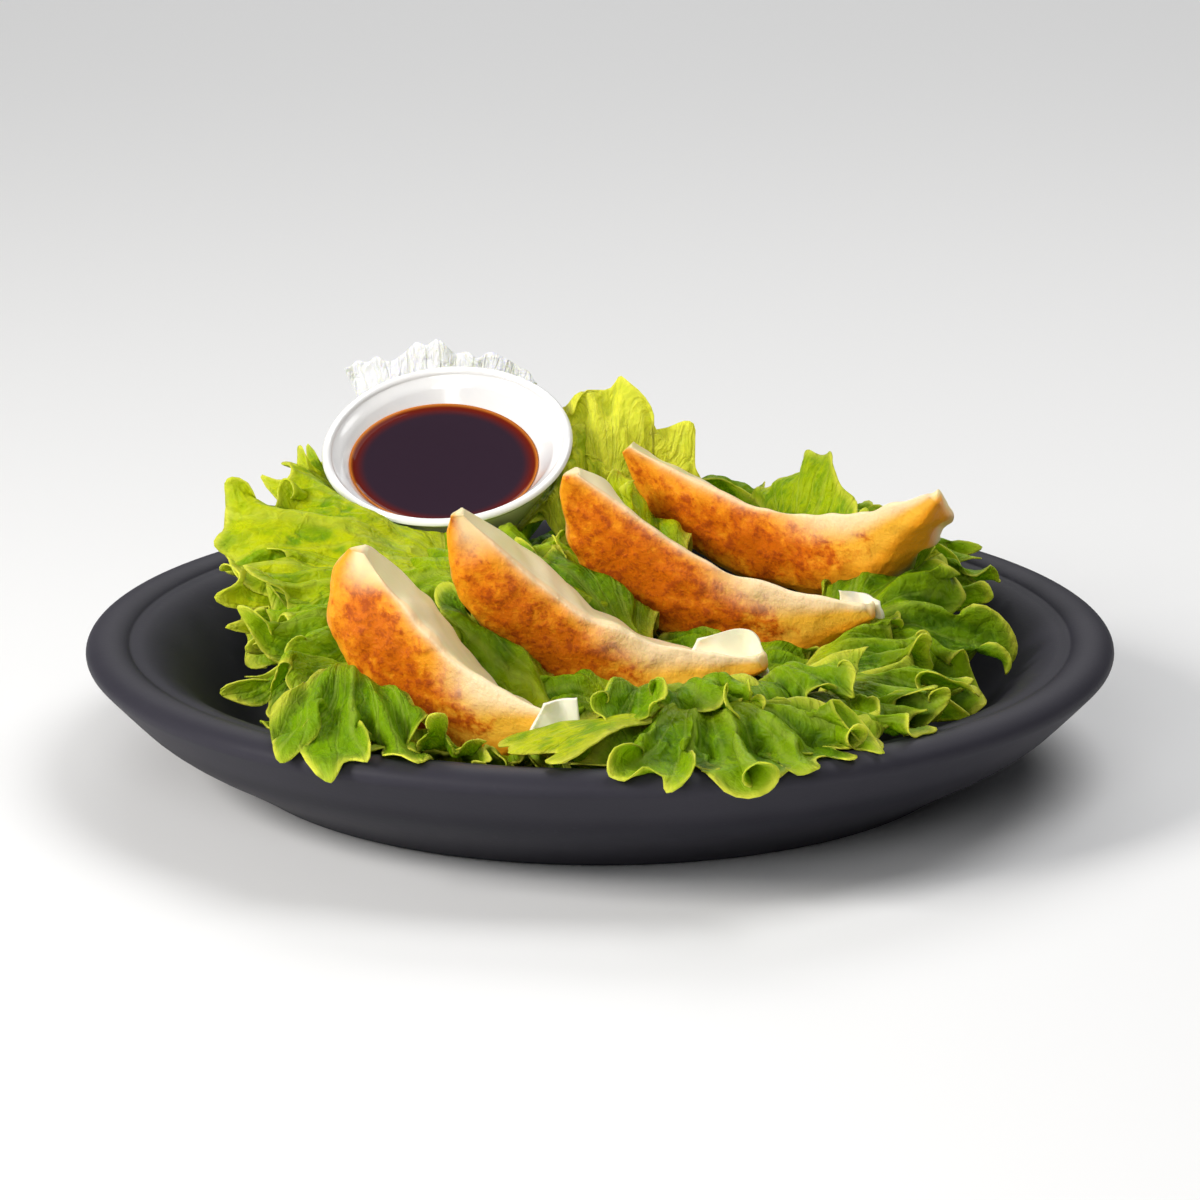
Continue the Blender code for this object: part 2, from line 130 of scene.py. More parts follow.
class LettuceSettings(bpy.types.PropertyGroup):
    rows: IntProperty(name="Rows", description="Points from root to edge", default=48, min=6)
    spokes: IntProperty(name="Spokes", description="Points across a wide leaf", default=190,
                        min=12)
    thickness: length("Thickness", "Thickness of a leaf", 0.35)
    pucker: length("Pucker", "Height of the blisters between the veins", 1.5)
    light: colour("Light", "Sunlit young leaf", (0.48, 0.56, 0.003))
    fresh: colour("Fresh", "Ordinary leaf", (0.17, 0.33, 0.002))
    # Dark is the tone of old leaves, and it also goes into the painted shade of ruffle valleys
    # and of the core.
    dark: colour("Dark", "Folds and old leaf", (0.022, 0.075, 0.001))
    edge: colour("Edge", "Thin edge of a leaf", (0.64, 0.68, 0.06))
    rib: colour("Rib", "Ribs and stalk", (0.50, 0.60, 0.12))
    # Young is the heart leaves' own yellow, set at full brightness partly as painted light for
    # the upright leaf at the back.
    young: colour("Young", "Yellow heart leaves at the back", (1.0, 1.0, 0.08))
    bleached: colour("Bleached", "Palest leaf, behind the bowl", (0.93, 0.95, 0.91))


class StageSettings(bpy.types.PropertyGroup):
    floor: colour("Floor", "Pale floor", (0.86, 0.86, 0.86))
    distance: FloatProperty(name="Distance", description="Camera distance", default=1.4,
                            min=0.1, unit="LENGTH")
    elevation: FloatProperty(name="Elevation", description="Camera height above the horizon",
                             subtype="ANGLE", default=math.radians(15.4))
    aim_height: length("Aim height", "Height the camera looks at", 41)
    lens: FloatProperty(name="Lens", description="Focal length in millimetres", default=165.9,
                        min=1.0)


# ================================================================ meshes

def mesh_object(name, points, faces, material=None, attributes=None):
    """A smooth mesh object from points in millimetres."""
    mesh = bpy.data.meshes.new(name)
    mesh.from_pydata((np.asarray(points, float) * MM).tolist(), [], faces)
    for key, values in (attributes or {}).items():
        layer = mesh.attributes.new(key, "FLOAT", "POINT")
        layer.data.foreach_set("value", np.asarray(values, np.float32).ravel())
    mesh.shade_smooth()
    obj = bpy.data.objects.new(name, mesh)
    bpy.context.scene.collection.objects.link(obj)
    if material:
        mesh.materials.append(material)
    return obj


def grid_faces(rows, cols, wrap=False, start=0, flip=False):
    """Quads of a grid of points stored row by row."""
    faces = []
    last = cols if wrap else cols - 1
    for i in range(rows - 1):
        for j in range(last):
            k = (j + 1) % cols
            quad = (start + i * cols + j, start + i * cols + k,
                    start + (i + 1) * cols + k, start + (i + 1) * cols + j)
            faces.append(quad[::-1] if flip else quad)
    return faces


def face_out(obj):
    """Turns a closed mesh's faces outwards."""
    bm = bmesh.new()
    bm.from_mesh(obj.data)
    bmesh.ops.recalc_face_normals(bm, faces=bm.faces)
    bm.to_mesh(obj.data)
    bm.free()
    obj.data.shade_smooth()


def smoothstep(low, high, value):
    t = np.clip((value - low) / (high - low), 0.0, 1.0)
    return t * t * (3 - 2 * t)


def wander(rng, waves, terms=4):
    """A smooth irregular function of -1..1 with values about -1..1."""
    pace = rng.uniform(0.4, 1.3, terms) * waves * math.pi
    shift = rng.uniform(0, math.tau, terms)
    return lambda t: np.mean([np.sin(p * t + s) for p, s in zip(pace, shift)], axis=0) * 1.7


def rumple(points, size, rng, terms=18):
    """Smooth irregular values about -1..1 at points, with bumps of about that size."""
    total = np.zeros(len(points))
    for _ in range(terms):
        way = rng.normal(size=3)
        way *= math.tau / (size * 2.0) / np.linalg.norm(way) * rng.uniform(0.7, 1.4)
        total += np.sin(points @ way + rng.uniform(0, math.tau))
    return total / math.sqrt(terms)


def baked_modifier(obj, tree, values):
    """Runs a geometry node tree on obj with named values and keeps the plain mesh."""
    modifier = obj.modifiers.new(tree.name, "NODES")
    modifier.node_group = tree
    sockets = {item.name: item.identifier for item in tree.interface.items_tree
               if item.item_type == "SOCKET" and item.in_out == "INPUT"}
    for name, value in values.items():
        modifier[sockets[name]] = value
    evaluated = obj.evaluated_get(bpy.context.evaluated_depsgraph_get())
    mesh = bpy.data.meshes.new_from_object(evaluated)
    obj.modifiers.remove(modifier)
    old, obj.data = obj.data, mesh
    mesh.name = obj.name
    bpy.data.meshes.remove(old)


def finish_piece(obj, slot, *nodes):
    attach(obj, "root")
    if nodes:
        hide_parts(*nodes)
    return obj


# ================================================================ node helpers

class Graph:
    """Short calls for building a node tree."""

    def __init__(self, tree):
        self.tree = tree

    def feed(self, node, values):
        """Links sockets to a node's inputs, or sets them to plain values."""
        for key, value in values.items():
            if isinstance(value, bpy.types.NodeSocket):
                self.tree.links.new(value, node.inputs[key])
            else:
                node.inputs[key].default_value = value
        return node

    def add(self, kind, values=None, **settings):
        node = self.tree.nodes.new(kind)
        for key, value in settings.items():
            setattr(node, key, value)
        return self.feed(node, values or {})

    def math(self, operation, *values, clamp=False):
        node = self.add("ShaderNodeMath", dict(enumerate(values)), operation=operation,
                        use_clamp=clamp)
        return node.outputs[0]

    def times(self, first, second):
        return self.math("MULTIPLY", first, second)

    def plus(self, first, second, clamp=False):
        return self.math("ADD", first, second, clamp=clamp)

    def minus(self, first, second):
        return self.math("SUBTRACT", first, second)

    def attribute(self, name):
        return self.add("ShaderNodeAttribute", attribute_name=name).outputs["Fac"]

    def noise(self, vector, scale, detail=3.0, rough=0.55, distort=0.0):
        return self.add("ShaderNodeTexNoise", {
            "Vector": vector, "Scale": scale, "Detail": detail, "Roughness": rough,
            "Distortion": distort}).outputs["Fac"]

    def step(self, value, low, high):
        """0 below low to 1 above high, smoothly."""
        node = self.add("ShaderNodeMapRange", {"Value": value, "From Min": low,
                                               "From Max": high},
                        interpolation_type="SMOOTHSTEP")
        return node.outputs["Result"]

    def mix(self, amount, first, second):
        """First colour at amount 0, second at 1."""
        node = self.add("ShaderNodeMix", data_type="RGBA")
        for key, value in (("Factor", amount), ("A", first), ("B", second)):
            socket = [s for s in node.inputs if s.name == key and s.enabled][0]
            if isinstance(value, bpy.types.NodeSocket):
                self.tree.links.new(value, socket)
            elif key == "Factor":
                socket.default_value = value
            else:
                socket.default_value = (*value, 1.0)
        return [s for s in node.outputs if s.enabled][0]

    def bump(self, height, distance, strength=1.0, normal=None):
        values = {"Height": height, "Distance": distance, "Strength": strength}
        if normal is not None:
            values["Normal"] = normal
        return self.add("ShaderNodeBump", values).outputs["Normal"]


def shader(name, **values):
    """A material with plain values on its shader's sockets; returns both and a Graph."""
    material = bpy.data.materials.new(name)
    material.use_nodes = True
    principled = material.node_tree.nodes["Principled BSDF"]
    for key, value in values.items():
        principled.inputs[key.replace("_", " ")].default_value = value
    return material, principled, Graph(material.node_tree)


def node_tree(name, inputs, outputs, kind="ShaderNodeTree"):
    """A node tree with named sockets; returns its Graph, inputs and output node."""
    tree = bpy.data.node_groups.new(name, kind)
    for side, sockets in (("INPUT", inputs), ("OUTPUT", outputs)):
        for key, socket in sockets:
            tree.interface.new_socket(key, in_out=side, socket_type="NodeSocket" + socket)
    graph = Graph(tree)
    return graph, graph.add("NodeGroupInput").outputs, graph.add("NodeGroupOutput")


def finish_tree(g, geometry, material, result):
    """Ends a geometry tree: smooth, made real and with its material."""
    for kind, values in (("GeometryNodeSetShadeSmooth", {}),
                         ("GeometryNodeRealizeInstances", {}),
                         ("GeometryNodeSetMaterial", {"Material": material})):
        geometry = g.add(kind, {"Geometry": geometry, **values}).outputs[0]
    g.feed(result, {"Geometry": geometry})
    return g.tree


# ================================================================ pottery

SPINDLE = 300.0         # millimetres, more than any turned piece's radius
WELL_BELOW_RIM = 1.5    # how far below the rim's top the plate's well ends
BOWL_FACETS = 128
SAUCE_PRESS = 0.2       # how far the sauce reaches into the bowl's wall
SAUCE_BOTTOM = 5.2


def turned_tree():
    """Spins a profile, drawn SPINDLE nearer the axis, round the upright axis."""
    g, given, result = node_tree(
        "Turned pottery",
        (("Profile", "Geometry"), ("Segments", "Int"), ("Spindle", "Float"),
         ("Glaze", "Material")),
        (("Geometry", "Geometry"),), "GeometryNodeTree")
    circle = g.add("GeometryNodeCurvePrimitiveCircle", {
        "Resolution": given["Segments"], "Radius": given["Spindle"]})
    outline = g.add("GeometryNodeMeshToCurve", {"Mesh": given["Profile"]})
    swept = g.add("GeometryNodeCurveToMesh", {
        "Curve": circle.outputs["Curve"], "Profile Curve": outline.outputs["Curve"]})
    merged = g.add("GeometryNodeMergeByDistance", {
        "Geometry": swept.outputs["Mesh"], "Distance": 0.02 * MM})
    place = g.add("GeometryNodeInputPosition").outputs["Position"]
    flat = g.add("ShaderNodeVectorMath", {0: place, 1: (1.0, 1.0, 0.0)},
                 operation="MULTIPLY").outputs[0]
    radius = g.add("ShaderNodeVectorMath", {0: flat}, operation="LENGTH").outputs["Value"]
    stored = g.add("GeometryNodeStoreNamedAttribute", {
        "Geometry": merged.outputs["Geometry"], "Name": "radius", "Value": radius},
        data_type="FLOAT", domain="POINT")
    return finish_tree(g, stored.outputs[0], given["Glaze"], result)


def turned(name, profile, segments, material, tree, place=None):
    """A turned piece from an outline of (radius, height) points from axis to axis."""
    points = [(radius - SPINDLE, -height, 0.0) for radius, height in profile]
    obj = mesh_object(name, points, [])
    obj.data.edges.add(len(points) - 1)
    for i, edge in enumerate(obj.data.edges):
        edge.vertices = (i, i + 1)
    baked_modifier(obj, tree, {"Segments": segments, "Spindle": SPINDLE * MM,
                               "Glaze": material})
    if place is not None:
        obj.data.transform(place)
    face_out(obj)
    return obj


def arc(centre, radius_x, radius_z, start, stop, steps):
    """Outline points on an ellipse, from a start to a stop angle in degrees."""
    angles = np.radians(np.linspace(start, stop, steps + 1))
    return [(centre[0] + radius_x * math.cos(a), centre[1] + radius_z * math.sin(a))
            for a in angles]


def softened(outline, rounds=2):
    """Rounds an outline's corners by cutting them, keeping its two ends."""
    points = np.asarray(outline, float)
    for _ in range(rounds):
        near = points[:-1] * 0.75 + points[1:] * 0.25
        far = points[:-1] * 0.25 + points[1:] * 0.75
        cut = np.stack([near, far], axis=1).reshape(-1, 2)
        points = np.vstack([points[:1], cut[1:-1], points[-1:]])
    return [tuple(p) for p in points]


def plate_inner_edge(plate):
    return PLATE_RADIUS - plate.rim_width / MM


def plate_inside(radius, plate):
    """Height of the well's floor and wall at a radius; the wall ends just below the rim."""
    floor = plate.floor / MM
    t = smoothstep(plate.floor_radius / MM, plate_inner_edge(plate), radius)
    return floor + (PLATE_HEIGHT - WELL_BELOW_RIM - floor) * t


def plate_profile(plate):
    """Outline from the middle of the underside, over the rim, to the middle of the well."""
    foot, half_rim = plate.foot_radius / MM, plate.rim_width / MM / 2
    outline = [(0, 3.2), (60, 3.2), (foot - 13, 3.2), (foot - 12, 2.6), (foot - 10.4, 0.5),
               (foot - 9.5, 0), (foot - 2.5, 0), (foot - 0.6, 0.25), (foot + 1, 1.4),
               (foot + 9, 6.4), (115.5, 14.6), (123.5, 22.6)]
    outline += arc((PLATE_RADIUS - half_rim, PLATE_HEIGHT - 3.6), half_rim, 3.6, -30, 150, 14)
    inner_edge = outline[-1][0]
    for radius in np.linspace(inner_edge, plate.floor_radius / MM, 14)[1:]:
        outline.append((radius, float(plate_inside(radius, plate))))
    outline += [(60, plate.floor / MM), (0, plate.floor / MM)]
    return softened(outline)


def glaze_material(plate):
    """Matt charcoal, cloudy and speckled, with a paler band round the rim that is a painted
    highlight.
    """
    material, principled, g = shader("charcoal_glaze", IOR=1.45, Specular_IOR_Level=0.12)
    place = g.add("ShaderNodeTexCoord").outputs["Object"]
    cloud = g.noise(place, 22.0, 4.0)
    grain = g.noise(place, 900.0, 2.0)
    radius = g.attribute("radius")
    # Painted highlight: the top of the rim is paler all the way round.
    rim = g.times(g.step(radius, 0.119, 0.1245), 0.6)
    tone = g.plus(g.times(g.step(cloud, 0.4, 0.75), 0.35), rim, clamp=True)
    base = g.mix(tone, plate.glaze, plate.pale_mottle_and_rim)
    speck = g.step(g.noise(place, 420.0, 1.0), 0.68, 0.74)
    base = g.mix(g.times(speck, 0.25), base, plate.pale_mottle_and_rim)
    rough = g.plus(0.44, g.times(cloud, 0.16))
    fine = g.bump(grain, 0.00006, 0.5)
    g.feed(principled, {"Base Color": base, "Roughness": rough,
                        "Normal": g.bump(cloud, 0.0008, 0.25, fine)})
    return material


def bowl_outer(height, bowl):
    """Outer radius at a height above the foot: a wall that opens out and steepens."""
    t = np.clip(height / (bowl.height / MM), 0.0, 1.0)
    foot, rim = bowl.foot_radius / MM, bowl.radius / MM
    return foot + (rim - foot) * t ** 0.8


def bowl_inner(height, bowl):
    """Inner radius at a height; the wall is three times as thick at the foot."""
    return bowl_outer(height, bowl) - bowl.wall / MM * (3.0 - 2.0 * height / (bowl.height / MM))


def bowl_profile(bowl):
    """Outline from the middle of the foot, over the lip, to the middle of the inside."""
    foot, tall, lip = bowl.foot_radius / MM, bowl.height / MM, bowl.wall / MM / 2
    floor = 4.2
    outline = [(0, 1.2), (foot - 4, 1.2), (foot - 3, 0.6), (foot - 2.5, 0), (foot - 0.7, 0),
               (foot + 0.2, 0.5)]
    outline += [(float(bowl_outer(h, bowl)), h) for h in np.linspace(1.4, tall - 3, 14)]
    outline += arc((bowl.radius / MM - lip, tall - lip), lip, lip, 0, 180, 10)
    outline += [(float(bowl_inner(h, bowl)), h) for h in np.linspace(tall - 3, 6.5, 14)]
    outline += [(float(bowl_inner(floor + 0.6, bowl)) - 3.0, floor), (6, floor), (0, floor)]
    return softened(outline)


def bowl_place(bowl):
    """Stands the bowl where the frame has it, leaning to the front and the left."""
    turn = (Matrix.Rotation(bowl.lean, 4, "X") @ Matrix.Rotation(-bowl.lean_left, 4, "Y"))
    low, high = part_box("dip_bowl")
    rim_middle = turn @ Vector((0, 0, bowl.height))
    back = bowl.radius * math.cos(bowl.lean)
    rise = bowl.radius * math.sin(bowl.lean)
    centre = Vector(((low[0] + high[0]) / 2, high[1] - back, high[2] - rise))
    return Matrix.Translation(centre - rim_middle) @ turn


def porcelain_material(bowl):
    """Glossy white with a faint cool cloud."""
    material, principled, g = shader("white_porcelain", Roughness=0.12, IOR=1.5,
                                     Coat_Weight=0.4, Coat_Roughness=0.05)
    place = g.add("ShaderNodeTexCoord").outputs["Object"]
    cloud = g.noise(place, 60.0, 2.0)
    cool = tuple(c * k for c, k in zip(bowl.glaze, (0.95, 0.955, 0.97)))
    base = g.mix(g.step(cloud, 0.35, 0.7), bowl.glaze, cool)
    g.feed(principled, {"Base Color": base, "Normal": g.bump(cloud, 0.0004, 0.2)})
    return material


def sauce_material(sauce):
    """Nearly black, red where it thins out and amber where it creeps up the wall."""
    material, principled, g = shader("soy_sauce", Roughness=0.06, IOR=1.33,
                                     Specular_IOR_Level=0.12)
    edge = g.attribute("from_wall")
    # Where the sauce is deep, its colour carries a painted reflection: the blue-purple tint.
    base = g.mix(g.step(edge, 0.0, 0.0045), sauce.thin, sauce.deep)
    base = g.mix(g.step(edge, 0.0011, 0.0), base, sauce.film)
    g.feed(principled, {"Base Color": base})
    return material


def sauce_mesh(bowl, sauce, material, place):
    """The sauce: a level top that creeps up the wall, and a skin just inside the wall."""
    around, rings, wall_rings = BOWL_FACETS, 30, 8
    level = (bowl.height - sauce.below_rim) / MM
    angle = np.linspace(0, math.tau, around, endpoint=False)
    slope = math.tan(bowl.lean_left)
    rows, from_wall = [], []
    radius_out = np.full(around, float(bowl_inner(level, bowl)))
    for _ in range(4):
        height = level - radius_out * np.cos(angle) * slope
        radius_out = bowl_inner(height, bowl) + SAUCE_PRESS
    for share_out in np.linspace(0.02, 1.0, rings) ** 0.6:
        radius = radius_out * share_out
        creep = 0.7 * smoothstep(2.2, 0.0, radius_out - radius) ** 2
        rows.append(np.stack([radius * np.cos(angle), radius * np.sin(angle),
                              level - radius * np.cos(angle) * slope + creep], axis=1))
        from_wall.append((radius_out - radius) * MM)
    top = rows[-1][:, 2]
    for t in np.linspace(0, 1, wall_rings + 1)[1:]:
        height = top + (SAUCE_BOTTOM - top) * t
        radius = bowl_inner(height, bowl) + SAUCE_PRESS
        rows.append(np.stack([radius * np.cos(angle), radius * np.sin(angle), height], axis=1))
        from_wall.append(np.zeros(around))
    points = np.vstack(rows)
    faces = grid_faces(len(rows), around, wrap=True)
    faces.append(tuple(range(around)))
    faces.append(tuple(range(len(points) - around, len(points))))
    obj = mesh_object("sauce", points, faces, material,
                      {"from_wall": np.concatenate(from_wall)})
    obj.data.transform(place)
    face_out(obj)
    return obj


class GYOZA_OT_plate(bpy.types.Operator):
    """Turn the charcoal plate"""
    bl_idname = "gyoza.plate"
    bl_label = "Plate"

    def execute(self, context):
        plate = context.scene.gyoza_plate
        obj = turned("plate_glazed", plate_profile(plate), plate.segments,
                     glaze_material(plate), turned_tree())
        finish_piece(obj, "plate_glaze", "plate")
        return {"FINISHED"}


class GYOZA_OT_dip_bowl(bpy.types.Operator):
    """Turn the dip bowl and fill it with sauce"""
    bl_idname = "gyoza.dip_bowl"
    bl_label = "Dip bowl and sauce"

    def execute(self, context):
        bowl, sauce = context.scene.gyoza_bowl, context.scene.gyoza_sauce
        place = bowl_place(bowl)
        obj = turned("bowl_glazed", bowl_profile(bowl), BOWL_FACETS,
                     porcelain_material(bowl), turned_tree(), place)
        finish_piece(obj, "porcelain", "dip_bowl")
        obj = sauce_mesh(bowl, sauce, sauce_material(sauce), place)
        finish_piece(obj, "soy_sauce", "soy_sauce")
        return {"FINISHED"}


# ================================================================ dumplings

# Pose and size of each dumpling, as its solid has them: centre, spine, width and height in
# millimetres, angles in degrees. Then, from blunt end to tail, how slack the hollow side is
# (full) and how far its seam tucks in, and where that change fades in (fade). hollow widens
# the hollow side, fried spreads the fried patch and bare takes it off the blunt end's rim.
DUMPLINGS = (
    dict(centre=(-42.8, -78.0, 40.0), turn=-28, tip=7, roll=-35, spine=36.0, half_angle=62,
         width=14.0, height=25.0, full=(0.5, 1.25), tuck=(0, 4), fried=0.58, bare=1.0),
    dict(centre=(-5.7, -48.0, 40.6), turn=-14, tip=14, roll=-26, spine=50.7, half_angle=54,
         width=12.0, height=24.5, full=(0.55, 1.3), tuck=(0, 5), fried=0.58, bare=0.8),
    dict(centre=(23.9, -14.0, 43.5), turn=-20, tip=17, roll=-23, spine=51.2, half_angle=53,
         width=13.1, height=24.5, full=(0.6, 2.0), tuck=(0, 7.5), fade=(-0.85, -0.4),
         hollow=1.16, fried=0.95),
    dict(centre=(46.6, 16.0, 49.9), turn=-28, tip=14, roll=-2, spine=53.5, half_angle=54,
         width=11.5, height=24.2, full=(1.2, 2.2), tuck=(4, 9), fade=(-0.8, 0.2),
         hollow=1.06, fried=0.62),
)
TAIL_WIDTH = 0.16       # least width and height of a dumpling, as parts of its most
TAIL_HEIGHT = 0.17
TAIL_CORNER = 0.43      # where along a dumpling its bulging side starts to taper
TAIL_HOLLOW = 2.1       # how hollow that taper is
SEAM_THICKNESS = 1.2
SIDE_POINTS = 34        # points up each side, over the seam and across the base
SEAM_POINTS = 7
BASE_POINTS = 40


def dumpling_place(dumpling):
    return (Matrix.Translation(Vector(dumpling["centre"]))
            @ Matrix.Rotation(math.radians(dumpling["turn"]), 4, "Z")
            @ Matrix.Rotation(math.radians(90 + dumpling["tip"]), 4, "X")
            @ Matrix.Rotation(math.radians(dumpling["roll"]), 4, "Z"))


def dumpling_widths(dumpling, along):
    """Half widths of the browned base on its hollow and its bulging side."""
    inner = 1 - np.abs(along) ** np.where(along < 0, 3.0, 2.4)
    rounded = np.where(along < 0, 1 - np.abs(along) ** 3.0,
                       1 - 0.08 * (along / TAIL_CORNER) ** 2)
    straight = 0.95 * ((1 - along) / (1 - TAIL_CORNER)) ** TAIL_HOLLOW
    outer = np.minimum(rounded, straight)
    inner, outer = (dumpling["width"] * (TAIL_WIDTH + (1 - TAIL_WIDTH) * part)
                    for part in (inner, outer))
    return inner * dumpling.get("hollow", 1.0), outer


def bend(dumpling, along, across, height):
    """Carries section points onto the curved spine and to the dumpling's place."""
    angle = np.radians(dumpling["half_angle"]) * along
    reach = dumpling["spine"] - across
    flat = np.stack([reach * np.sin(angle), dumpling["spine"] - reach * np.cos(angle),
                     height], axis=-1)
    place = np.array(dumpling_place(dumpling))
    return flat @ place[:3, :3].T + place[:3, 3]


def dumpling_shell(dumpling, settings, rng):
    """Points, masks and grid size of one dumpling's surface."""
    along = np.linspace(-1, 1, settings.sections)[:, None]
    inner, outer = dumpling_widths(dumpling, along)
    uneven = wander(rng, 4)(along)
    inner = inner * (1 + 0.035 * uneven)
    outer = outer * (1 + 0.035 * wander(rng, 5)(along))
    tall = dumpling["height"] * (TAIL_HEIGHT + (1 - TAIL_HEIGHT)
                                 * (1 - np.abs(along) ** 2.5))
    tall = tall * (1 + 0.03 * wander(rng, 7)(along))
    seam = SEAM_THICKNESS / 2
    wobble = 0.25 * wander(rng, 4)(along) * (1 - along ** 2)

    side = np.linspace(0.0, 1.0, SIDE_POINTS)[None, :]
    rounding = 1 - 0.10 * np.exp(-side / 0.025)
    first, last = dumpling["full"]
    fade = smoothstep(*dumpling.get("fade", (-0.5, 0.6)), along)
    slack = first + (last - first) * fade
    smooth_side = (1 - side) ** slack
    tuck = dumpling["tuck"]
    tuck = (tuck[0] + (tuck[1] - tuck[0]) * fade) * (1 - along ** 8)
    wobble = wobble - tuck
    inner_v = wobble * side + seam + (inner - seam) * smooth_side * rounding
    inner_z = -tall * side
    crest = np.linspace(0, math.pi, SEAM_POINTS)[None, 1:-1]
    crest_v = wobble + seam * np.cos(crest)
    crest_z = -tall - 0.5 * np.sin(crest)

    fold = np.abs(np.sin(math.pi * settings.pleats * (along * 0.5 + 0.02 * uneven)))
    back = np.linspace(1.0, 0.0, SIDE_POINTS)[None, :]
    rounding = 1 - 0.12 * np.exp(-back / 0.05)
    pleated = (1 - back ** 2.1) * (1 + 0.26 * np.sin(math.pi * back)) * rounding
    depth = settings.pleat_depth / MM * (1 - along ** 4) * smoothstep(0.25, 0.75, back)
    depth = depth * (1 - 0.75 * smoothstep(0.86, 0.98, back))
    outer_v = wobble * back - seam - (outer - seam) * pleated + depth * (fold - 0.5) * 2.4
    outer_z = -tall * back

    base = np.linspace(-1, 1, BASE_POINTS)[None, 1:-1]
    middle, half = (inner - outer) / 2 * 0.9, (inner + outer) / 2 * 0.9
    base_v = middle + half * base
    pillow = 1 - np.abs(base) ** 2.6
    base_z = 0.35 * pillow ** 0.3 + 1.1 * pillow * smoothstep(1.0, 0.55, np.abs(along))

    across = np.hstack([inner_v, crest_v * np.ones_like(along), outer_v, base_v])
    height = np.hstack([inner_z, crest_z * np.ones_like(along), outer_z, base_z])
    rows, cols = across.shape
    points = bend(dumpling, along, across, height).reshape(-1, 3)

    masks = dumpling_masks(dumpling, along, (side, crest, back, base), half, rng)
    return points, masks, rows, cols


def dumpling_masks(dumpling, along, parts, half, rng):
    """How fried each point is, how near the lip of the base, and where on the dumpling."""
    side, crest, back, base = parts
    every = np.ones_like(along)
    level = np.hstack([side, np.ones_like(crest), back, np.zeros_like(base)]) * every
    across = np.hstack([np.ones_like(side), np.zeros_like(crest), -np.ones_like(back), base])
    first_back = side.shape[1] + crest.shape[1]
    hollow_side = slice(0, side.shape[1])
    bulging_side = slice(first_back, first_back + back.shape[1])
    underside = slice(first_back + back.shape[1], level.shape[1])

    crust, lip = np.zeros_like(level), np.zeros_like(level)
    tail_end = smoothstep(0.45, 0.8, along)
    crust[:, bulging_side] = smoothstep(0.30 + 0.9 * tail_end, 0.03 + 0.5 * tail_end,
                                        back + 0.05 * wander(rng, 12)(along))
    crust[:, underside] = 1.0
    crust[:, :2] = (0.8, 0.35)
    bare = dumpling.get("bare", 0.0) * smoothstep(-0.68, -0.94, along)
    crust[:, underside] -= bare * smoothstep(-0.9, 0.3, base)
    # The lip masks place a painted highlight along the edge where the fried base meets the
    # hollow side.
    lip[:, hollow_side] = np.exp(-side / 0.03)
    lip[:, underside] = np.exp(-(1 - base) * half / 0.8)
    return {"crust": crust, "lip": lip, "level": level,
            "along": along * np.ones_like(level), "across": across * every}


def fried_pattern():
    """Group: a fried patch on the base, its mottle, its dark spots and its blisters."""
    g, given, result = node_tree(
        "Fried pattern",
        (("Vector", "Vector"), ("Along", "Float"), ("Across", "Float"), ("Fried", "Float")),
        (("Brown", "Float"), ("Scorch", "Float"), ("Blister", "Float")))
    vector = given["Vector"]
    broad = g.noise(vector, 85.0, 3.0, 0.6, 0.2)
    spots = g.noise(vector, 340.0, 3.0, 0.6, 0.1)
    fine = g.noise(vector, 800.0, 3.0, 0.65)

    def far(key, middle, reach):
        """How far a place is from the middle of the patch, 1 at the patch's rim."""
        part = g.math("DIVIDE", g.minus(given[key], middle), reach)
        return g.math("POWER", g.math("ABSOLUTE", part), 2.4)

    inside = g.minus(1.0, g.plus(far("Along", -0.27, 0.66), far("Across", -0.06, 0.86)))
    uneven = g.times(g.minus(broad, 0.5), 3.2)
    mottle = g.times(g.minus(spots, 0.5), 3.6)
    grain = g.times(g.minus(fine, 0.5), 1.5)
    level = g.plus(g.plus(inside, uneven), g.plus(mottle, grain))
    level = g.plus(level, given["Fried"])
    brown = g.step(level, 0.0, 1.55)
    dark = g.plus(g.times(spots, 0.65), g.times(fine, 0.35))
    scorch = g.times(g.step(dark, 0.47, 0.62), g.step(level, 0.7, 1.9))
    blister = g.plus(g.times(spots, 0.6), g.times(fine, 0.4))
    g.feed(result, {"Brown": brown, "Scorch": scorch, "Blister": blister})
    return g.tree


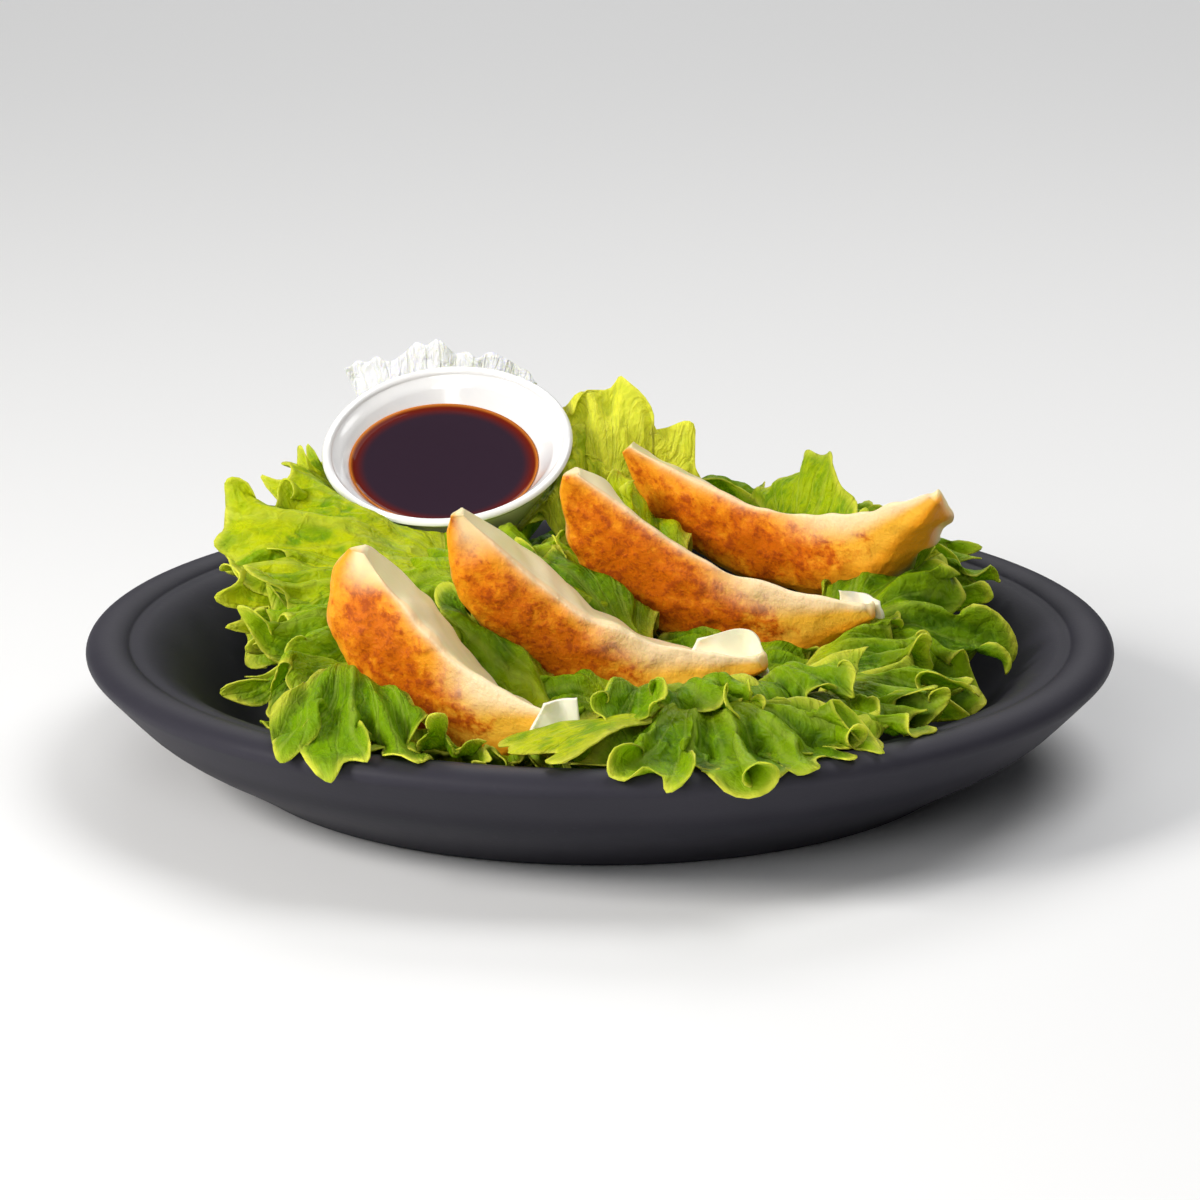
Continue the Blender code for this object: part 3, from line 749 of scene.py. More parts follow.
def wrapper_material(settings, pattern, name, fried, side):
    """Fried on the base, the given colour on the sides, paler on the seam and the tail's top,
    with a painted highlight along the lip of the base.
    """
    material, principled, g = shader(
        name, Subsurface_Weight=0.18, Subsurface_Scale=0.003,
        Subsurface_Radius=(1.0, 0.55, 0.25), IOR=1.42, Specular_IOR_Level=0.28)
    place = g.add("ShaderNodeTexCoord").outputs["Object"]
    crust, lip = g.attribute("crust"), g.attribute("lip")
    along, across = g.attribute("along"), g.attribute("across")
    level = g.attribute("level")

    tail = g.step(g.plus(along, g.times(across, 0.16)), 0.0, 0.55)
    look = g.add("ShaderNodeGroup", {"Vector": place, "Along": along, "Across": across,
                                     "Fried": fried}, node_tree=pattern).outputs
    gold = g.mix(tail, settings.golden, settings.blond)
    gold = g.mix(look["Brown"], gold, settings.brown)
    gold = g.mix(g.times(look["Scorch"], 0.6), gold, settings.scorched)
    upper = g.times(tail, g.step(across, 0.1, 0.85))
    gold = g.mix(g.times(upper, 0.8), gold, settings.cream_and_lip_highlight)
    hem = g.times(g.step(along, 0.0, 0.5), g.step(across, -0.25, -0.8))
    gold = g.mix(g.times(hem, 0.9), gold, settings.golden)

    glow = g.noise(place, 55.0, 2.0)
    moist = tuple(c * k for c, k in zip(side, (0.92, 0.97, 0.82)))
    pale = g.mix(g.step(glow, 0.35, 0.65), tuple(side), moist)
    seam = g.times(g.step(level, 0.86, 1.0), 0.6)
    pale = g.mix(seam, pale, settings.cream_and_lip_highlight)
    base = g.mix(crust, pale, gold)
    # Painted highlight along the lip of the base.
    base = g.mix(g.times(lip, 0.8), base, settings.cream_and_lip_highlight)

    rough = g.plus(0.34, g.times(look["Blister"], 0.22))
    relief = g.times(look["Blister"], g.plus(0.2, crust))
    g.feed(principled, {"Base Color": base, "Roughness": rough,
                        "Normal": g.bump(relief, 0.0012, 0.55)})
    return material


# Loose corners of wrapper at the tails: low left, low right, top left and top right corner
# and bulge in millimetres, and how far the top rises in the middle, as a part of its height.
FLAPS = (
    dict(corners=((-16.5, -99, 35.7), (-4.5, -98, 33.2), (-13, -99, 42.6), (-5.4, -98, 44)),
         bulge=1.2, crown=0.0),
    dict(corners=((22, -50, 41.5), (41, -54, 35.6), (24, -50, 44.5), (40.5, -52.5, 41)),
         bulge=2.4, crown=1.5),
    dict(corners=((60, -25, 45.5), (70.2, -26, 43), (59.5, -24, 50), (69.6, -25, 47.6)),
         bulge=1.8, crown=0.15),
)
FLAP_POINTS = 28


def flap_mesh(name, flap, material, tree):
    """A loose corner of wrapper: a curved patch between four corners."""
    low_left, low_right, top_left, top_right = (np.array(c, float) for c in flap["corners"])
    across = np.linspace(0, 1, FLAP_POINTS)[None, :, None]
    up = np.linspace(0, 1, FLAP_POINTS)[:, None, None]
    patch = ((low_left * (1 - across) + low_right * across) * (1 - up)
             + (top_left * (1 - across) + top_right * across) * up)
    facing = np.cross(low_right - low_left, top_left - low_left)
    facing = facing / np.linalg.norm(facing)
    crown = flap["crown"] * (top_left - low_left) * np.sin(math.pi * across) * up
    waves = 0.25 * np.sin(9 * across + 4 * up)
    bow = flap["bulge"] * (np.sin(math.pi * across) * (0.4 + 0.6 * up) + waves)
    patch = patch + crown - facing * bow
    masks = {key: np.full(FLAP_POINTS ** 2, value) for key, value in (
        ("crust", 0.0), ("lip", 0.0), ("level", 0.7), ("along", 0.0), ("across", 1.0))}
    obj = mesh_object(name, patch.reshape(-1, 3), grid_faces(FLAP_POINTS, FLAP_POINTS),
                      material, masks)
    baked_modifier(obj, tree, {"Pucker": 0.25 * MM, "Pucker size": 4.0 * MM,
                               "Thickness": 0.9 * MM, "Seed": 1.0, "Material": material})
    face_out(obj)
    return obj


def roughen(obj, rng):
    """Pushes the surface in and out a little, more on the fried base."""
    mesh = obj.data
    count = len(mesh.vertices)
    points, normals = np.empty(count * 3), np.empty(count * 3)
    mesh.vertices.foreach_get("co", points)
    mesh.vertex_normals.foreach_get("vector", normals)
    points, normals = points.reshape(-1, 3) / MM, normals.reshape(-1, 3)
    crust = np.empty(count)
    mesh.attributes["crust"].data.foreach_get("value", crust)
    lift = 0.22 * rumple(points, 5.0, rng) + 0.35 * rumple(points, 13.0, rng)
    lift += crust * 0.10 * rumple(points, 2.2, rng, 30)
    points += normals * lift[:, None]
    mesh.vertices.foreach_set("co", (points * MM).ravel())
    mesh.update()


class GYOZA_OT_dumplings(bpy.types.Operator):
    """Fold and fry the dumplings"""
    bl_idname = "gyoza.dumplings"
    bl_label = "Dumplings"

    def execute(self, context):
        settings = context.scene.gyoza_dumplings
        pattern = fried_pattern()
        for number, (node, dumpling) in enumerate(zip(GYOZA_NODES, DUMPLINGS), 1):
            rng = np.random.default_rng(40 + number)
            points, masks, rows, cols = dumpling_shell(dumpling, settings, rng)
            faces = grid_faces(rows, cols, wrap=True)
            faces += [tuple(range(cols)), tuple(range(len(points) - cols, len(points)))]
            material = wrapper_material(settings, pattern, f"wrapper_{number}",
                                        dumpling["fried"], settings.pale)
            obj = mesh_object(f"dumpling_{number}", points, faces, material, masks)
            face_out(obj)
            roughen(obj, rng)
            finish_piece(obj, "fried_wrapper", node)
        tree = leaf_tree()
        for number, flap in enumerate(FLAPS, 1):
            material = wrapper_material(settings, pattern, f"flap_{number}", 0.1, settings.dry)
            obj = flap_mesh(f"seam_flap_{number}", flap, material, tree)
            finish_piece(obj, "fried_wrapper")
        return {"FINISHED"}


# ================================================================ lettuce

# Leaves near where their solids are. root and end are its two ends, arch is how far it
# bows up and ruffle how high its big waves are, in millimetres; spread and roll are in
# degrees. waves counts the big waves and crest is the length of a small one, frill its
# height; side is the length of the leaf's sides as a part of its middle. tone runs from -1,
# bleached, over 0, yellow-green, to 1, dark. grow is how much the edge outgrows the leaf and
# deep how close to the edge that happens. lobes scales the small teeth of the edge, bays its
# large ones and blister the puckers.
LEAVES = (
    dict(node="leaf_tail", root=(62, 15, 43), end=(86, 32, 61), spread=76, roll=10, arch=2,
         ruffle=3.0, waves=2.5, phase=0.4, side=0.85, frill=1.4, crest=12, tone=0.35,
         lobes=0.4),
    dict(node="leaf_stalk", root=(18, -97, 38), end=(-21, -113, 35), spread=50, roll=4, arch=4,
         ruffle=0.8, waves=1.5, phase=0.0, frill=0.2, crest=16, tone=0.0, grow=0.03,
         blister=0.25),
    dict(node="leaf_front", root=(24, -84, 38), end=(36, -127, 25), spread=126, arch=9,
         ruffle=11.0, waves=5.5, phase=0.6, side=0.92, frill=2.2, crest=13, tone=0.7, grow=1.5,
         deep=3),
    dict(node="leaf_left_low", root=(-60, -62, 43), end=(-58, -113, 28), spread=58, arch=10,
         ruffle=8.0, waves=4.5, phase=0.2, side=0.84, frill=2.6, crest=9, tone=0.55, grow=1.4,
         deep=3),
    dict(node="leaf_fold", root=(-34, -88, 22), end=(-42, -108, 38), spread=76, arch=3,
         ruffle=3.0, waves=2.5, phase=1.2, side=0.8, frill=1.0, crest=13, tone=0.4),
    dict(node="leaf_left", root=(-38, -2, 50), end=(-94, 6, 58), spread=140, roll=-22, arch=6,
         ruffle=5.0, waves=5.0, phase=0.9, side=0.92, frill=2.0, crest=12, tone=0.02, grow=1.0),
    dict(node="leaf_left_middle", root=(-50, -30, 40), end=(-85, -48, 42), spread=90, roll=-10,
         arch=6, ruffle=8.0, waves=4.5, phase=0.3, side=0.8, frill=2.2, crest=13, tone=0.4,
         grow=1.4, deep=3),
    dict(node="leaf_right", root=(52, -16, 36), end=(98, -9, 37), spread=150, roll=28, arch=8,
         ruffle=10.0, waves=6.0, phase=0.1, side=0.92, frill=2.2, crest=13, tone=0.7, grow=1.5,
         deep=3),
    dict(node="leaf_behind_bowl", root=(-43, 75, 27), end=(-42, 81, 91), spread=52, arch=-2,
         ruffle=1.0, waves=3.5, phase=1.3, side=0.97, frill=0.5, crest=8, tone=-0.95, grow=0.1,
         lobes=0.25, bays=0.25),
    # leaf_back_middle's pale yellow tone is partly its own colour and partly painted light, for
    # an upright leaf that gets little light.
    dict(node="leaf_back_middle", root=(2, 22, 44), end=(12, 56, 93), spread=50, arch=-3,
         ruffle=3.0, waves=2.5, phase=0.0, frill=1.4, crest=9, tone=-0.7, lobes=0.5),
    dict(node="leaf_back_right", root=(48, 36, 42), end=(62, 52, 67), spread=104, roll=-8,
         arch=3, ruffle=3.0, waves=2.5, phase=1.4, side=0.92, frill=1.0, crest=15, tone=0.25,
         lobes=0.2, grow=0.5),
    dict(node="leaf_rear_left", root=(-50, 72, 42), end=(-78, 92, 36), spread=120, arch=8,
         ruffle=5.0, waves=4.5, phase=0.3, frill=1.8, crest=12, tone=0.3),
    dict(node="leaf_rear", root=(4, 52, 54), end=(8, 103, 34), spread=130, arch=10, ruffle=7.0,
         waves=4.5, phase=0.8, frill=1.8, crest=14, tone=0.45, grow=0.9),
    dict(node="leaf_rear_right", root=(53, 45, 46), end=(84, 74, 34), spread=106, arch=8,
         ruffle=6.0, waves=4.0, phase=1.1, frill=1.8, crest=13, tone=0.5, grow=0.9),
)

# Torn leaves that make up the rest of the heap: root, end, spread, roll, tone.
TORN = (
    ((42, -70, 34), (62, -106, 30), 120, 0, 0.7),
    ((54, -54, 34), (80, -78, 33), 110, 10, 0.75),
    ((14, -72, 38), (26, -106, 42), 110, 0, 0.6),
    ((36, -64, 36), (50, -92, 41), 110, 6, 0.7),
    ((-10, -64, 27), (-42, -42, 56), 80, 0, 0.75),
    ((12, -30, 30), (-14, -8, 62), 80, 0, 0.6),
    ((18, 0, 44), (-4, 24, 66), 90, 0, 0.0),
    ((50, -36, 34), (80, -48, 37), 110, 14, 0.85),
    ((-46, -14, 44), (-86, -28, 48), 100, -16, 0.2),
    ((-50, 26, 46), (-80, 34, 66), 100, -16, 0.0),
    ((-8, 26, 46), (-9, 48, 76), 70, 0, -0.3),
    ((-52, 40, 34), (-92, 46, 34), 110, 0, 0.45),
    ((-20, 56, 46), (-28, 100, 34), 110, 0, 0.35),
    ((34, 50, 46), (44, 96, 34), 110, 0, 0.4),
    ((60, 24, 40), (98, 38, 38), 110, 10, 0.55),
    ((-20, -84, 20), (-12, -104, 32), 120, 0, 0.5),
    ((-58, -46, 38), (-76, -74, 34), 80, 0, 0.4),
    ((-26, -12, 47), (-26, 19, 55), 300, 0, 0.3),
    ((34, -25, 32), (34, -4, 37), 290, 0, 0.6),
    ((5, -60, 31), (5, -38, 37), 290, 0, 0.6),
    ((-48, -64, 33), (-30, -102, 24), 110, 0, 0.6),
    ((-48, -22, 43), (-77, -36, 27), 116, 0, 0.45),
    ((-52, 14, 43), (-90, 17, 27), 120, 0, 0.3),
    ((-50, -50, 37), (-75, -72, 24), 110, 0, 0.5),
)
PLAIN_LEAF = dict(roll=0, side=0.9, grow=0.75, deep=4, lobes=1.0, bays=1.0, blister=1.0)
LEAF_ROOT = 0.02        # where a leaf starts, as a part of its length
STREAKS = 22.0          # fineness of the streaks that run out from the root
GROWING_ROUNDS = 130
ROUNDS_TO_SETTLE = 6
SMOOTHING_ROUNDS = 3


class Shelter:
    """The room for lettuce: under the dumplings and the bowl and above the plate.

    The roof is a height map with cells of STEP over a square of twice SIDE. Round a piece it
    stays low for NEAR, then rises by SLOPE, and is worked out for REACH cells. Where nothing
    is overhead it is OPEN.
    """

    STEP = 1.5
    SIDE = 147.0
    NEAR = 1.8
    SLOPE = 1.6
    REACH = 4
    OPEN = 1000.0

    def __init__(self, names, plate):
        points, faces = [], []
        for name in names:
            mesh = bpy.data.objects[name].data
            start = len(points)
            points += [vert.co / MM for vert in mesh.vertices]
            faces += [[start + v for v in face.vertices] for face in mesh.polygons]
        tree = BVHTree.FromPolygons(points, faces)
        self.plate = plate
        line = np.arange(-self.SIDE, self.SIDE + self.STEP / 2, self.STEP)
        bare = np.full((len(line), len(line)), self.OPEN)
        low = np.min(points, axis=0)
        high = np.max(points, axis=0)
        for i in np.flatnonzero((line > low[0]) & (line < high[0])):
            for j in np.flatnonzero((line > low[1]) & (line < high[1])):
                hit = tree.ray_cast(Vector((line[i], line[j], -20.0)), Vector((0, 0, 1)))
                if hit[0]:
                    bare[i, j] = hit[0].z
        self.map = np.minimum(bare, 200.0)
        for i in range(-self.REACH, self.REACH + 1):
            for j in range(-self.REACH, self.REACH + 1):
                distance = self.STEP * math.hypot(i, j)
                rise = self.SLOPE * max(0.0, distance - self.NEAR)
                shifted = np.roll(bare, (i, j), axis=(0, 1)) + rise
                self.map = np.minimum(self.map, shifted)

    def roof(self, x, y):
        u = np.clip((x + self.SIDE) / self.STEP, 0, len(self.map) - 1.001)
        v = np.clip((y + self.SIDE) / self.STEP, 0, len(self.map) - 1.001)
        i, j = u.astype(int), v.astype(int)
        s, t = u - i, v - j
        near = self.map[i, j] * (1 - s) + self.map[i + 1, j] * s
        far = self.map[i, j + 1] * (1 - s) + self.map[i + 1, j + 1] * s
        return near * (1 - t) + far * t

    def floor(self, x, y):
        radius = np.hypot(x, y)
        inside = plate_inside(radius + 1.5, self.plate)
        droop = 0.9 * np.maximum(0.0, radius - PLATE_RADIUS - 0.5) ** 1.3
        return np.where(radius < plate_inner_edge(self.plate), inside, PLATE_HEIGHT - droop)

    def settle(self, grid, clear):
        """Lowers and lifts a grid of points into the room there is."""
        x, y = grid[..., 0], grid[..., 1]
        below = np.minimum(grid[..., 2], self.roof(x, y) - clear)
        grid[..., 2] = np.maximum(below, self.floor(x, y) + clear)
        return grid


def leaf_axes(leaf):
    """Root, directions along, across and up from a leaf, and its length."""
    root, end = Vector(leaf["root"]), Vector(leaf["end"])
    axis = (end - root).normalized()
    side = axis.cross(Vector((0, 0, 1))).normalized()
    side = Matrix.Rotation(math.radians(leaf["roll"]), 3, axis) @ side
    up = side.cross(axis)
    return *(np.array(way) for way in (root, axis, side, up)), (end - root).length


def pull(points, first, second, rest, stiff, only_short):
    """Moves two matching sets of grid points towards their rest distance."""
    apart = points[second] - points[first]
    now = np.linalg.norm(apart, axis=-1) + 1e-9
    change = stiff * 0.5 * (now - rest) / now
    if only_short:
        change = np.minimum(change, 0.0)
    move = apart * change[..., None]
    points[first] += move
    points[second] -= move


def link_sets(flat, growth, radial):
    """Grid links of a leaf whose edge has grown: slices, rest lengths and stiffness."""
    rows, cols = flat.shape[:2]
    every = slice(None)
    sets = []

    def rest_of(first, second, stretch):
        apart = np.linalg.norm(flat[second] - flat[first], axis=-1)
        return apart * stretch

    for step, stiff, short in ((1, 0.8, False), (5, 0.9, True)):
        for start in range(2):
            picks = np.arange(cols - step)
            picks = picks[(picks // step) % 2 == start]
            first, second = (every, picks), (every, picks + step)
            rest = rest_of(first, second, growth[:, None])
            sets.append((first, second, rest * (0.82 if short else 1.0), stiff, short))
    for step, stiff, short in ((1, 0.9, False), (4, 0.35, True)):
        for start in range(2):
            picks = np.arange(rows - step)
            picks = picks[(picks // step) % 2 == start]
            first, second = (picks, every), (picks + step, every)
            sets.append((first, second, rest_of(first, second, 1.0) * radial
                         * (0.9 if short else 1.0), stiff, short))
    for start in (0, 1):
        picks = np.arange(start, rows - 1, 2)
        for left, right in ((slice(0, -1), slice(1, None)), (slice(1, None), slice(0, -1))):
            first, second = (picks, left), (picks + 1, right)
            flat_rest = np.linalg.norm(flat[second] - flat[first], axis=-1)
            down = np.linalg.norm(flat[(picks + 1, left)] - flat[first], axis=-1)
            wide = np.sqrt(np.maximum(flat_rest ** 2 - down ** 2, 0.0))
            grown = wide * growth[picks][:, None]
            sets.append((first, second, np.sqrt(grown ** 2 + down ** 2), 0.25, False))
    return sets


def grow(grid, sets, held, shelter, clear):
    """Lets a leaf's links reach their lengths, so that its edge buckles in its room."""
    start = grid.copy()
    for count in range(GROWING_ROUNDS):
        for links in sets:
            pull(grid, *links)
        grid += (start - grid) * held
        if count % ROUNDS_TO_SETTLE == 0:
            shelter.settle(grid, clear)
    for _ in range(SMOOTHING_ROUNDS):
        grid[:, 1:-1] = 0.5 * grid[:, 1:-1] + 0.25 * (grid[:, :-2] + grid[:, 2:])
        grid[1:-1] = 0.5 * grid[1:-1] + 0.25 * (grid[:-2] + grid[2:])
    shelter.settle(grid, clear)


def leaf_grid(leaf, rows, spokes, rng, shelter, clear):
    """The middle surface of a leaf whose edge has outgrown it, and its masks."""
    root, axis, side, up, long = leaf_axes(leaf)
    turn = np.linspace(-1, 1, spokes)[None, :]
    out = (LEAF_ROOT + (1 - LEAF_ROOT) * np.linspace(0, 1, rows) ** 0.85)[:, None]
    angle = math.radians(leaf["spread"]) / 2 * turn
    edge_length = math.radians(leaf["spread"]) * long * leaf["side"]
    broad = edge_length / leaf["crest"]

    spot = np.stack([long * out * np.cos(angle), long * out * np.sin(angle),
                     0 * out * turn], axis=-1).reshape(-1, 3)
    drift = rumple(spot, 14.0, rng).reshape(rows, spokes)
    main = math.pi * leaf["waves"] * turn + leaf["phase"] + 1.1 * out
    main = main + 1.1 * wander(rng, 2)(turn) + 0.8 * drift
    second = math.pi * broad * turn + 2.4 * wander(rng, broad * 0.5)(turn) + 1.2 * out
    third = 2.6 * second + 1.8 * wander(rng, broad)(turn)
    vary = 0.8 + 0.4 * wander(rng, broad * 0.4)(turn)

    outline = 1 + (leaf["side"] - 1) * np.abs(turn) ** 1.6
    long = 0.96 * long
    lobes = 0.07 * np.sin(4.3 * turn * leaf["waves"] / 2 + 2 * leaf["phase"])
    lobes = lobes * leaf["bays"]
    scallop = 0.10 * np.sin(second + 0.8) * vary + 0.010 * np.sin(third)
    scallop = scallop * leaf["lobes"]
    reach = long * out * (outline * (1 + lobes * out) + scallop * out ** 3)

    def fan(lift):
        return (root + axis * (reach * np.cos(angle))[..., None] + up * lift[..., None]
                + side * (reach * np.sin(angle))[..., None])

    arched = leaf["arch"] * np.sin(math.pi * out) * (1 - 0.35 * turn * turn)
    flat = fan(arched + 0 * turn)
    size = 0.75 + 0.5 * wander(rng, leaf["waves"])(turn)
    blister = 1.5 * rumple(spot, 9.0, rng) + 0.3 * rumple(spot, 4.0, rng, 30)
    blister = blister.reshape(rows, spokes) * leaf["blister"]
    lift = arched + leaf["ruffle"] * size * out ** 2.4 * np.sin(main)
    lift = lift + blister * np.minimum(1.0, 3 * out)
    lift = lift + 0.9 * leaf["frill"] * out ** 4 * np.sin(second) * vary
    lift = lift + 0.1 * leaf["frill"] * out ** 7 * np.sin(third)
    grid = fan(lift)
    sway = 0.34 * leaf["ruffle"] * size * out ** 2.5 * np.sin(2 * main)
    sway = sway + 0.4 * leaf["frill"] * out ** 5 * np.sin(2 * second) * vary
    grid = grid + side * (sway * np.cos(angle))[..., None]
    grid = grid - axis * (sway * np.sin(angle))[..., None]

    growth = 1.04 + leaf["grow"] * out[:, 0] ** leaf["deep"]
    held = (0.30 * np.exp(-out / 0.12) + 0.006)[..., None]
    grow(grid, link_sets(flat, growth, 1.03), held, shelter, clear)

    # fold is high on the ruffles' crests and low in their valleys; the leaf material uses it to
    # paint light on crests and shade in valleys.
    fold = 0.5 + 0.5 * np.tanh((lift - arched) / 3.0)
    border = np.minimum((1 - out) * long, (1 - np.abs(turn)) * edge_length / 2 * out)
    masks = {"fold": fold, "from_edge": border * MM, "out": out * np.ones_like(turn),
             "turn": turn * np.ones_like(out)}
    return grid, masks


def leaf_tree():
    """Puckers a leaf's grid, gives it thickness and a material."""
    g, given, result = node_tree(
        "Leaf finish",
        (("Leaf", "Geometry"), ("Pucker", "Float"), ("Pucker size", "Float"),
         ("Thickness", "Float"), ("Seed", "Float"), ("Material", "Material")),
        (("Geometry", "Geometry"),), "GeometryNodeTree")
    place = g.add("GeometryNodeInputPosition").outputs["Position"]
    normal = g.add("GeometryNodeInputNormal").outputs["Normal"]
    scale = g.math("DIVIDE", 1.0, given["Pucker size"])
    blister = g.add("ShaderNodeTexNoise", {"Vector": place, "W": given["Seed"],
                                           "Scale": scale, "Detail": 3.5},
                    noise_dimensions="4D").outputs["Fac"]
    lift = g.times(g.minus(blister, 0.5), 2.0)
    lift = g.times(lift, given["Pucker"])
    shift = g.add("ShaderNodeVectorMath", {0: normal, "Scale": lift},
                  operation="SCALE").outputs[0]
    puckered = g.add("GeometryNodeSetPosition", {"Geometry": given["Leaf"], "Offset": shift})
    down = g.times(given["Thickness"], -1.0)
    shell = g.add("GeometryNodeExtrudeMesh", {"Mesh": puckered.outputs[0],
                                              "Offset Scale": down, "Individual": False})
    top = g.add("GeometryNodeFlipFaces", {"Mesh": puckered.outputs[0]})
    joined = g.add("GeometryNodeJoinGeometry")
    g.feed(joined, {0: shell.outputs["Mesh"]})
    g.feed(joined, {0: top.outputs[0]})
    merged = g.add("GeometryNodeMergeByDistance", {"Geometry": joined.outputs[0],
                                                   "Distance": 0.002 * MM})
    return finish_tree(g, merged.outputs[0], given["Material"], result)


def leaf_pattern():
    """Group: veins that fan out and fork, and a blotchy tone, from a leaf's own masks."""
    g, given, result = node_tree(
        "Leaf pattern",
        (("Vector", "Vector"), ("Turn", "Float"), ("Out", "Float")),
        (("Vein", "Float"), ("Blotch", "Float"), ("Relief", "Float")))
    stir = g.times(g.minus(g.noise(given["Vector"], 70.0, 2.0), 0.5), 0.10)
    turn = g.plus(given["Turn"], stir)
    out = given["Out"]

    def fan(count, width, start):
        """Veins at even angles that fade in from a distance out."""
        cell = g.math("PINGPONG", g.times(turn, count), 0.5)
        reach = g.math("MAXIMUM", out, 0.08)
        across = g.times(cell, reach)
        line = g.step(across, width, width * 0.25)
        return g.times(line, g.step(out, start, start + 0.15))

    from_middle = g.times(g.math("ABSOLUTE", turn), out)
    mid = g.times(g.step(from_middle, 0.035, 0.008), g.step(out, 1.0, 0.75))
    veins = g.math("MAXIMUM", fan(3.0, 0.05, 0.0), g.times(fan(7.0, 0.07, 0.25), 0.7))
    net = g.add("ShaderNodeTexVoronoi", {"Vector": given["Vector"], "Scale": 330.0},
                feature="DISTANCE_TO_EDGE").outputs["Distance"]
    net = g.step(net, 0.09, 0.0)
    veins = g.math("MAXIMUM", g.math("MAXIMUM", veins, mid), g.times(net, 0.22))
    blotch = g.noise(given["Vector"], 95.0, 4.0, 0.6)
    crinkle = g.noise(given["Vector"], 230.0, 2.0, 0.5, 0.6)
    depth = g.times(g.noise(given["Vector"], 22.0, 1.0), 9.0)
    fanned = g.add("ShaderNodeCombineXYZ", {
        "X": g.times(g.times(turn, out), STREAKS),
        "Y": g.times(out, STREAKS / 3), "Z": depth}).outputs["Vector"]
    streak = g.noise(fanned, 1.0, 3.0, 0.55, 0.6)
    patchy = g.plus(g.times(blotch, 0.4), g.times(crinkle, 0.25))
    blotch = g.plus(patchy, g.times(streak, 0.35))
    relief = g.minus(g.plus(crinkle, g.times(streak, 0.7)), g.times(veins, 0.15))
    g.feed(result, {"Vein": veins, "Blotch": blotch, "Relief": relief})
    return g.tree


def blend(first, second, share_of_second):
    return tuple((1 - share_of_second) * a + share_of_second * b
                 for a, b in zip(first, second))


def leaf_material(settings, pattern, name, tone):
    """A leaf between pale yellow-green (tone 0) and dark green (tone 1)."""
    material, principled, g = shader(
        name, Subsurface_Weight=0.35, Subsurface_Scale=0.004,
        Subsurface_Radius=(0.7, 1.0, 0.15), IOR=1.4, Roughness=0.45, Specular_IOR_Level=0.10)
    place = g.add("ShaderNodeTexCoord").outputs["Object"]
    out, edge = g.attribute("out"), g.attribute("from_edge")
    look = g.add("ShaderNodeGroup", {"Vector": place, "Turn": g.attribute("turn"),
                                     "Out": out}, node_tree=pattern).outputs
    young = max(0.0, -tone)
    wan = settings.bleached if young > 0.8 else settings.young
    body = blend(settings.fresh, settings.light, min(1.0, max(0.0, 1 - 2 * tone)))
    body = blend(body, wan, young)
    high = max(0.0, tone - 0.5)
    shade = blend(body, settings.dark, high)
    deep = blend(settings.dark, settings.fresh, min(1.0, 0.9 * (1 - tone)))
    deep = blend(deep, body, young)
    body = blend(body, settings.light, high)
    base = g.mix(g.step(look["Blotch"], 0.42, 0.58), deep, shade)
    # Painted light and shade: ruffle crests get the lighter body colour, and valleys keep the
    # darker one.
    base = g.mix(g.times(g.step(g.attribute("fold"), 0.35, 0.85), 0.55), base, body)
    heart = g.times(g.step(out, 0.6, 0.05), 0.65)
    base = g.mix(heart, base, blend(settings.light, wan, young))
    base = g.mix(g.times(look["Vein"], 0.16), base, settings.rib)
    pale_mottle_and_rim = g.step(g.noise(place, 120.0, 2.0), 0.35, 0.6)
    rim = g.times(g.step(edge, 0.0024, 0.0), g.plus(0.35, pale_mottle_and_rim))
    rim = g.plus(g.times(rim, 0.6), g.times(g.step(edge, 0.005, 0.0), 0.2), clamp=True)
    base = g.mix(rim, base, blend(settings.edge, wan, young))
    g.feed(principled, {"Base Color": base})
    g.feed(principled, {"Normal": g.bump(look["Relief"], 0.0018, 0.8)})
    return material


def torn_leaf(index):
    """Fills in the rest of a torn leaf of the heap."""
    root, end, spread, roll, tone = TORN[index]
    return dict(root=root, end=end, spread=spread, roll=roll, tone=tone, arch=5.0,
                ruffle=84 / math.sqrt(spread), waves=spread / 26, phase=0.7 * index,
                side=0.88, frill=2.0, crest=13, grow=1.3, deep=3)


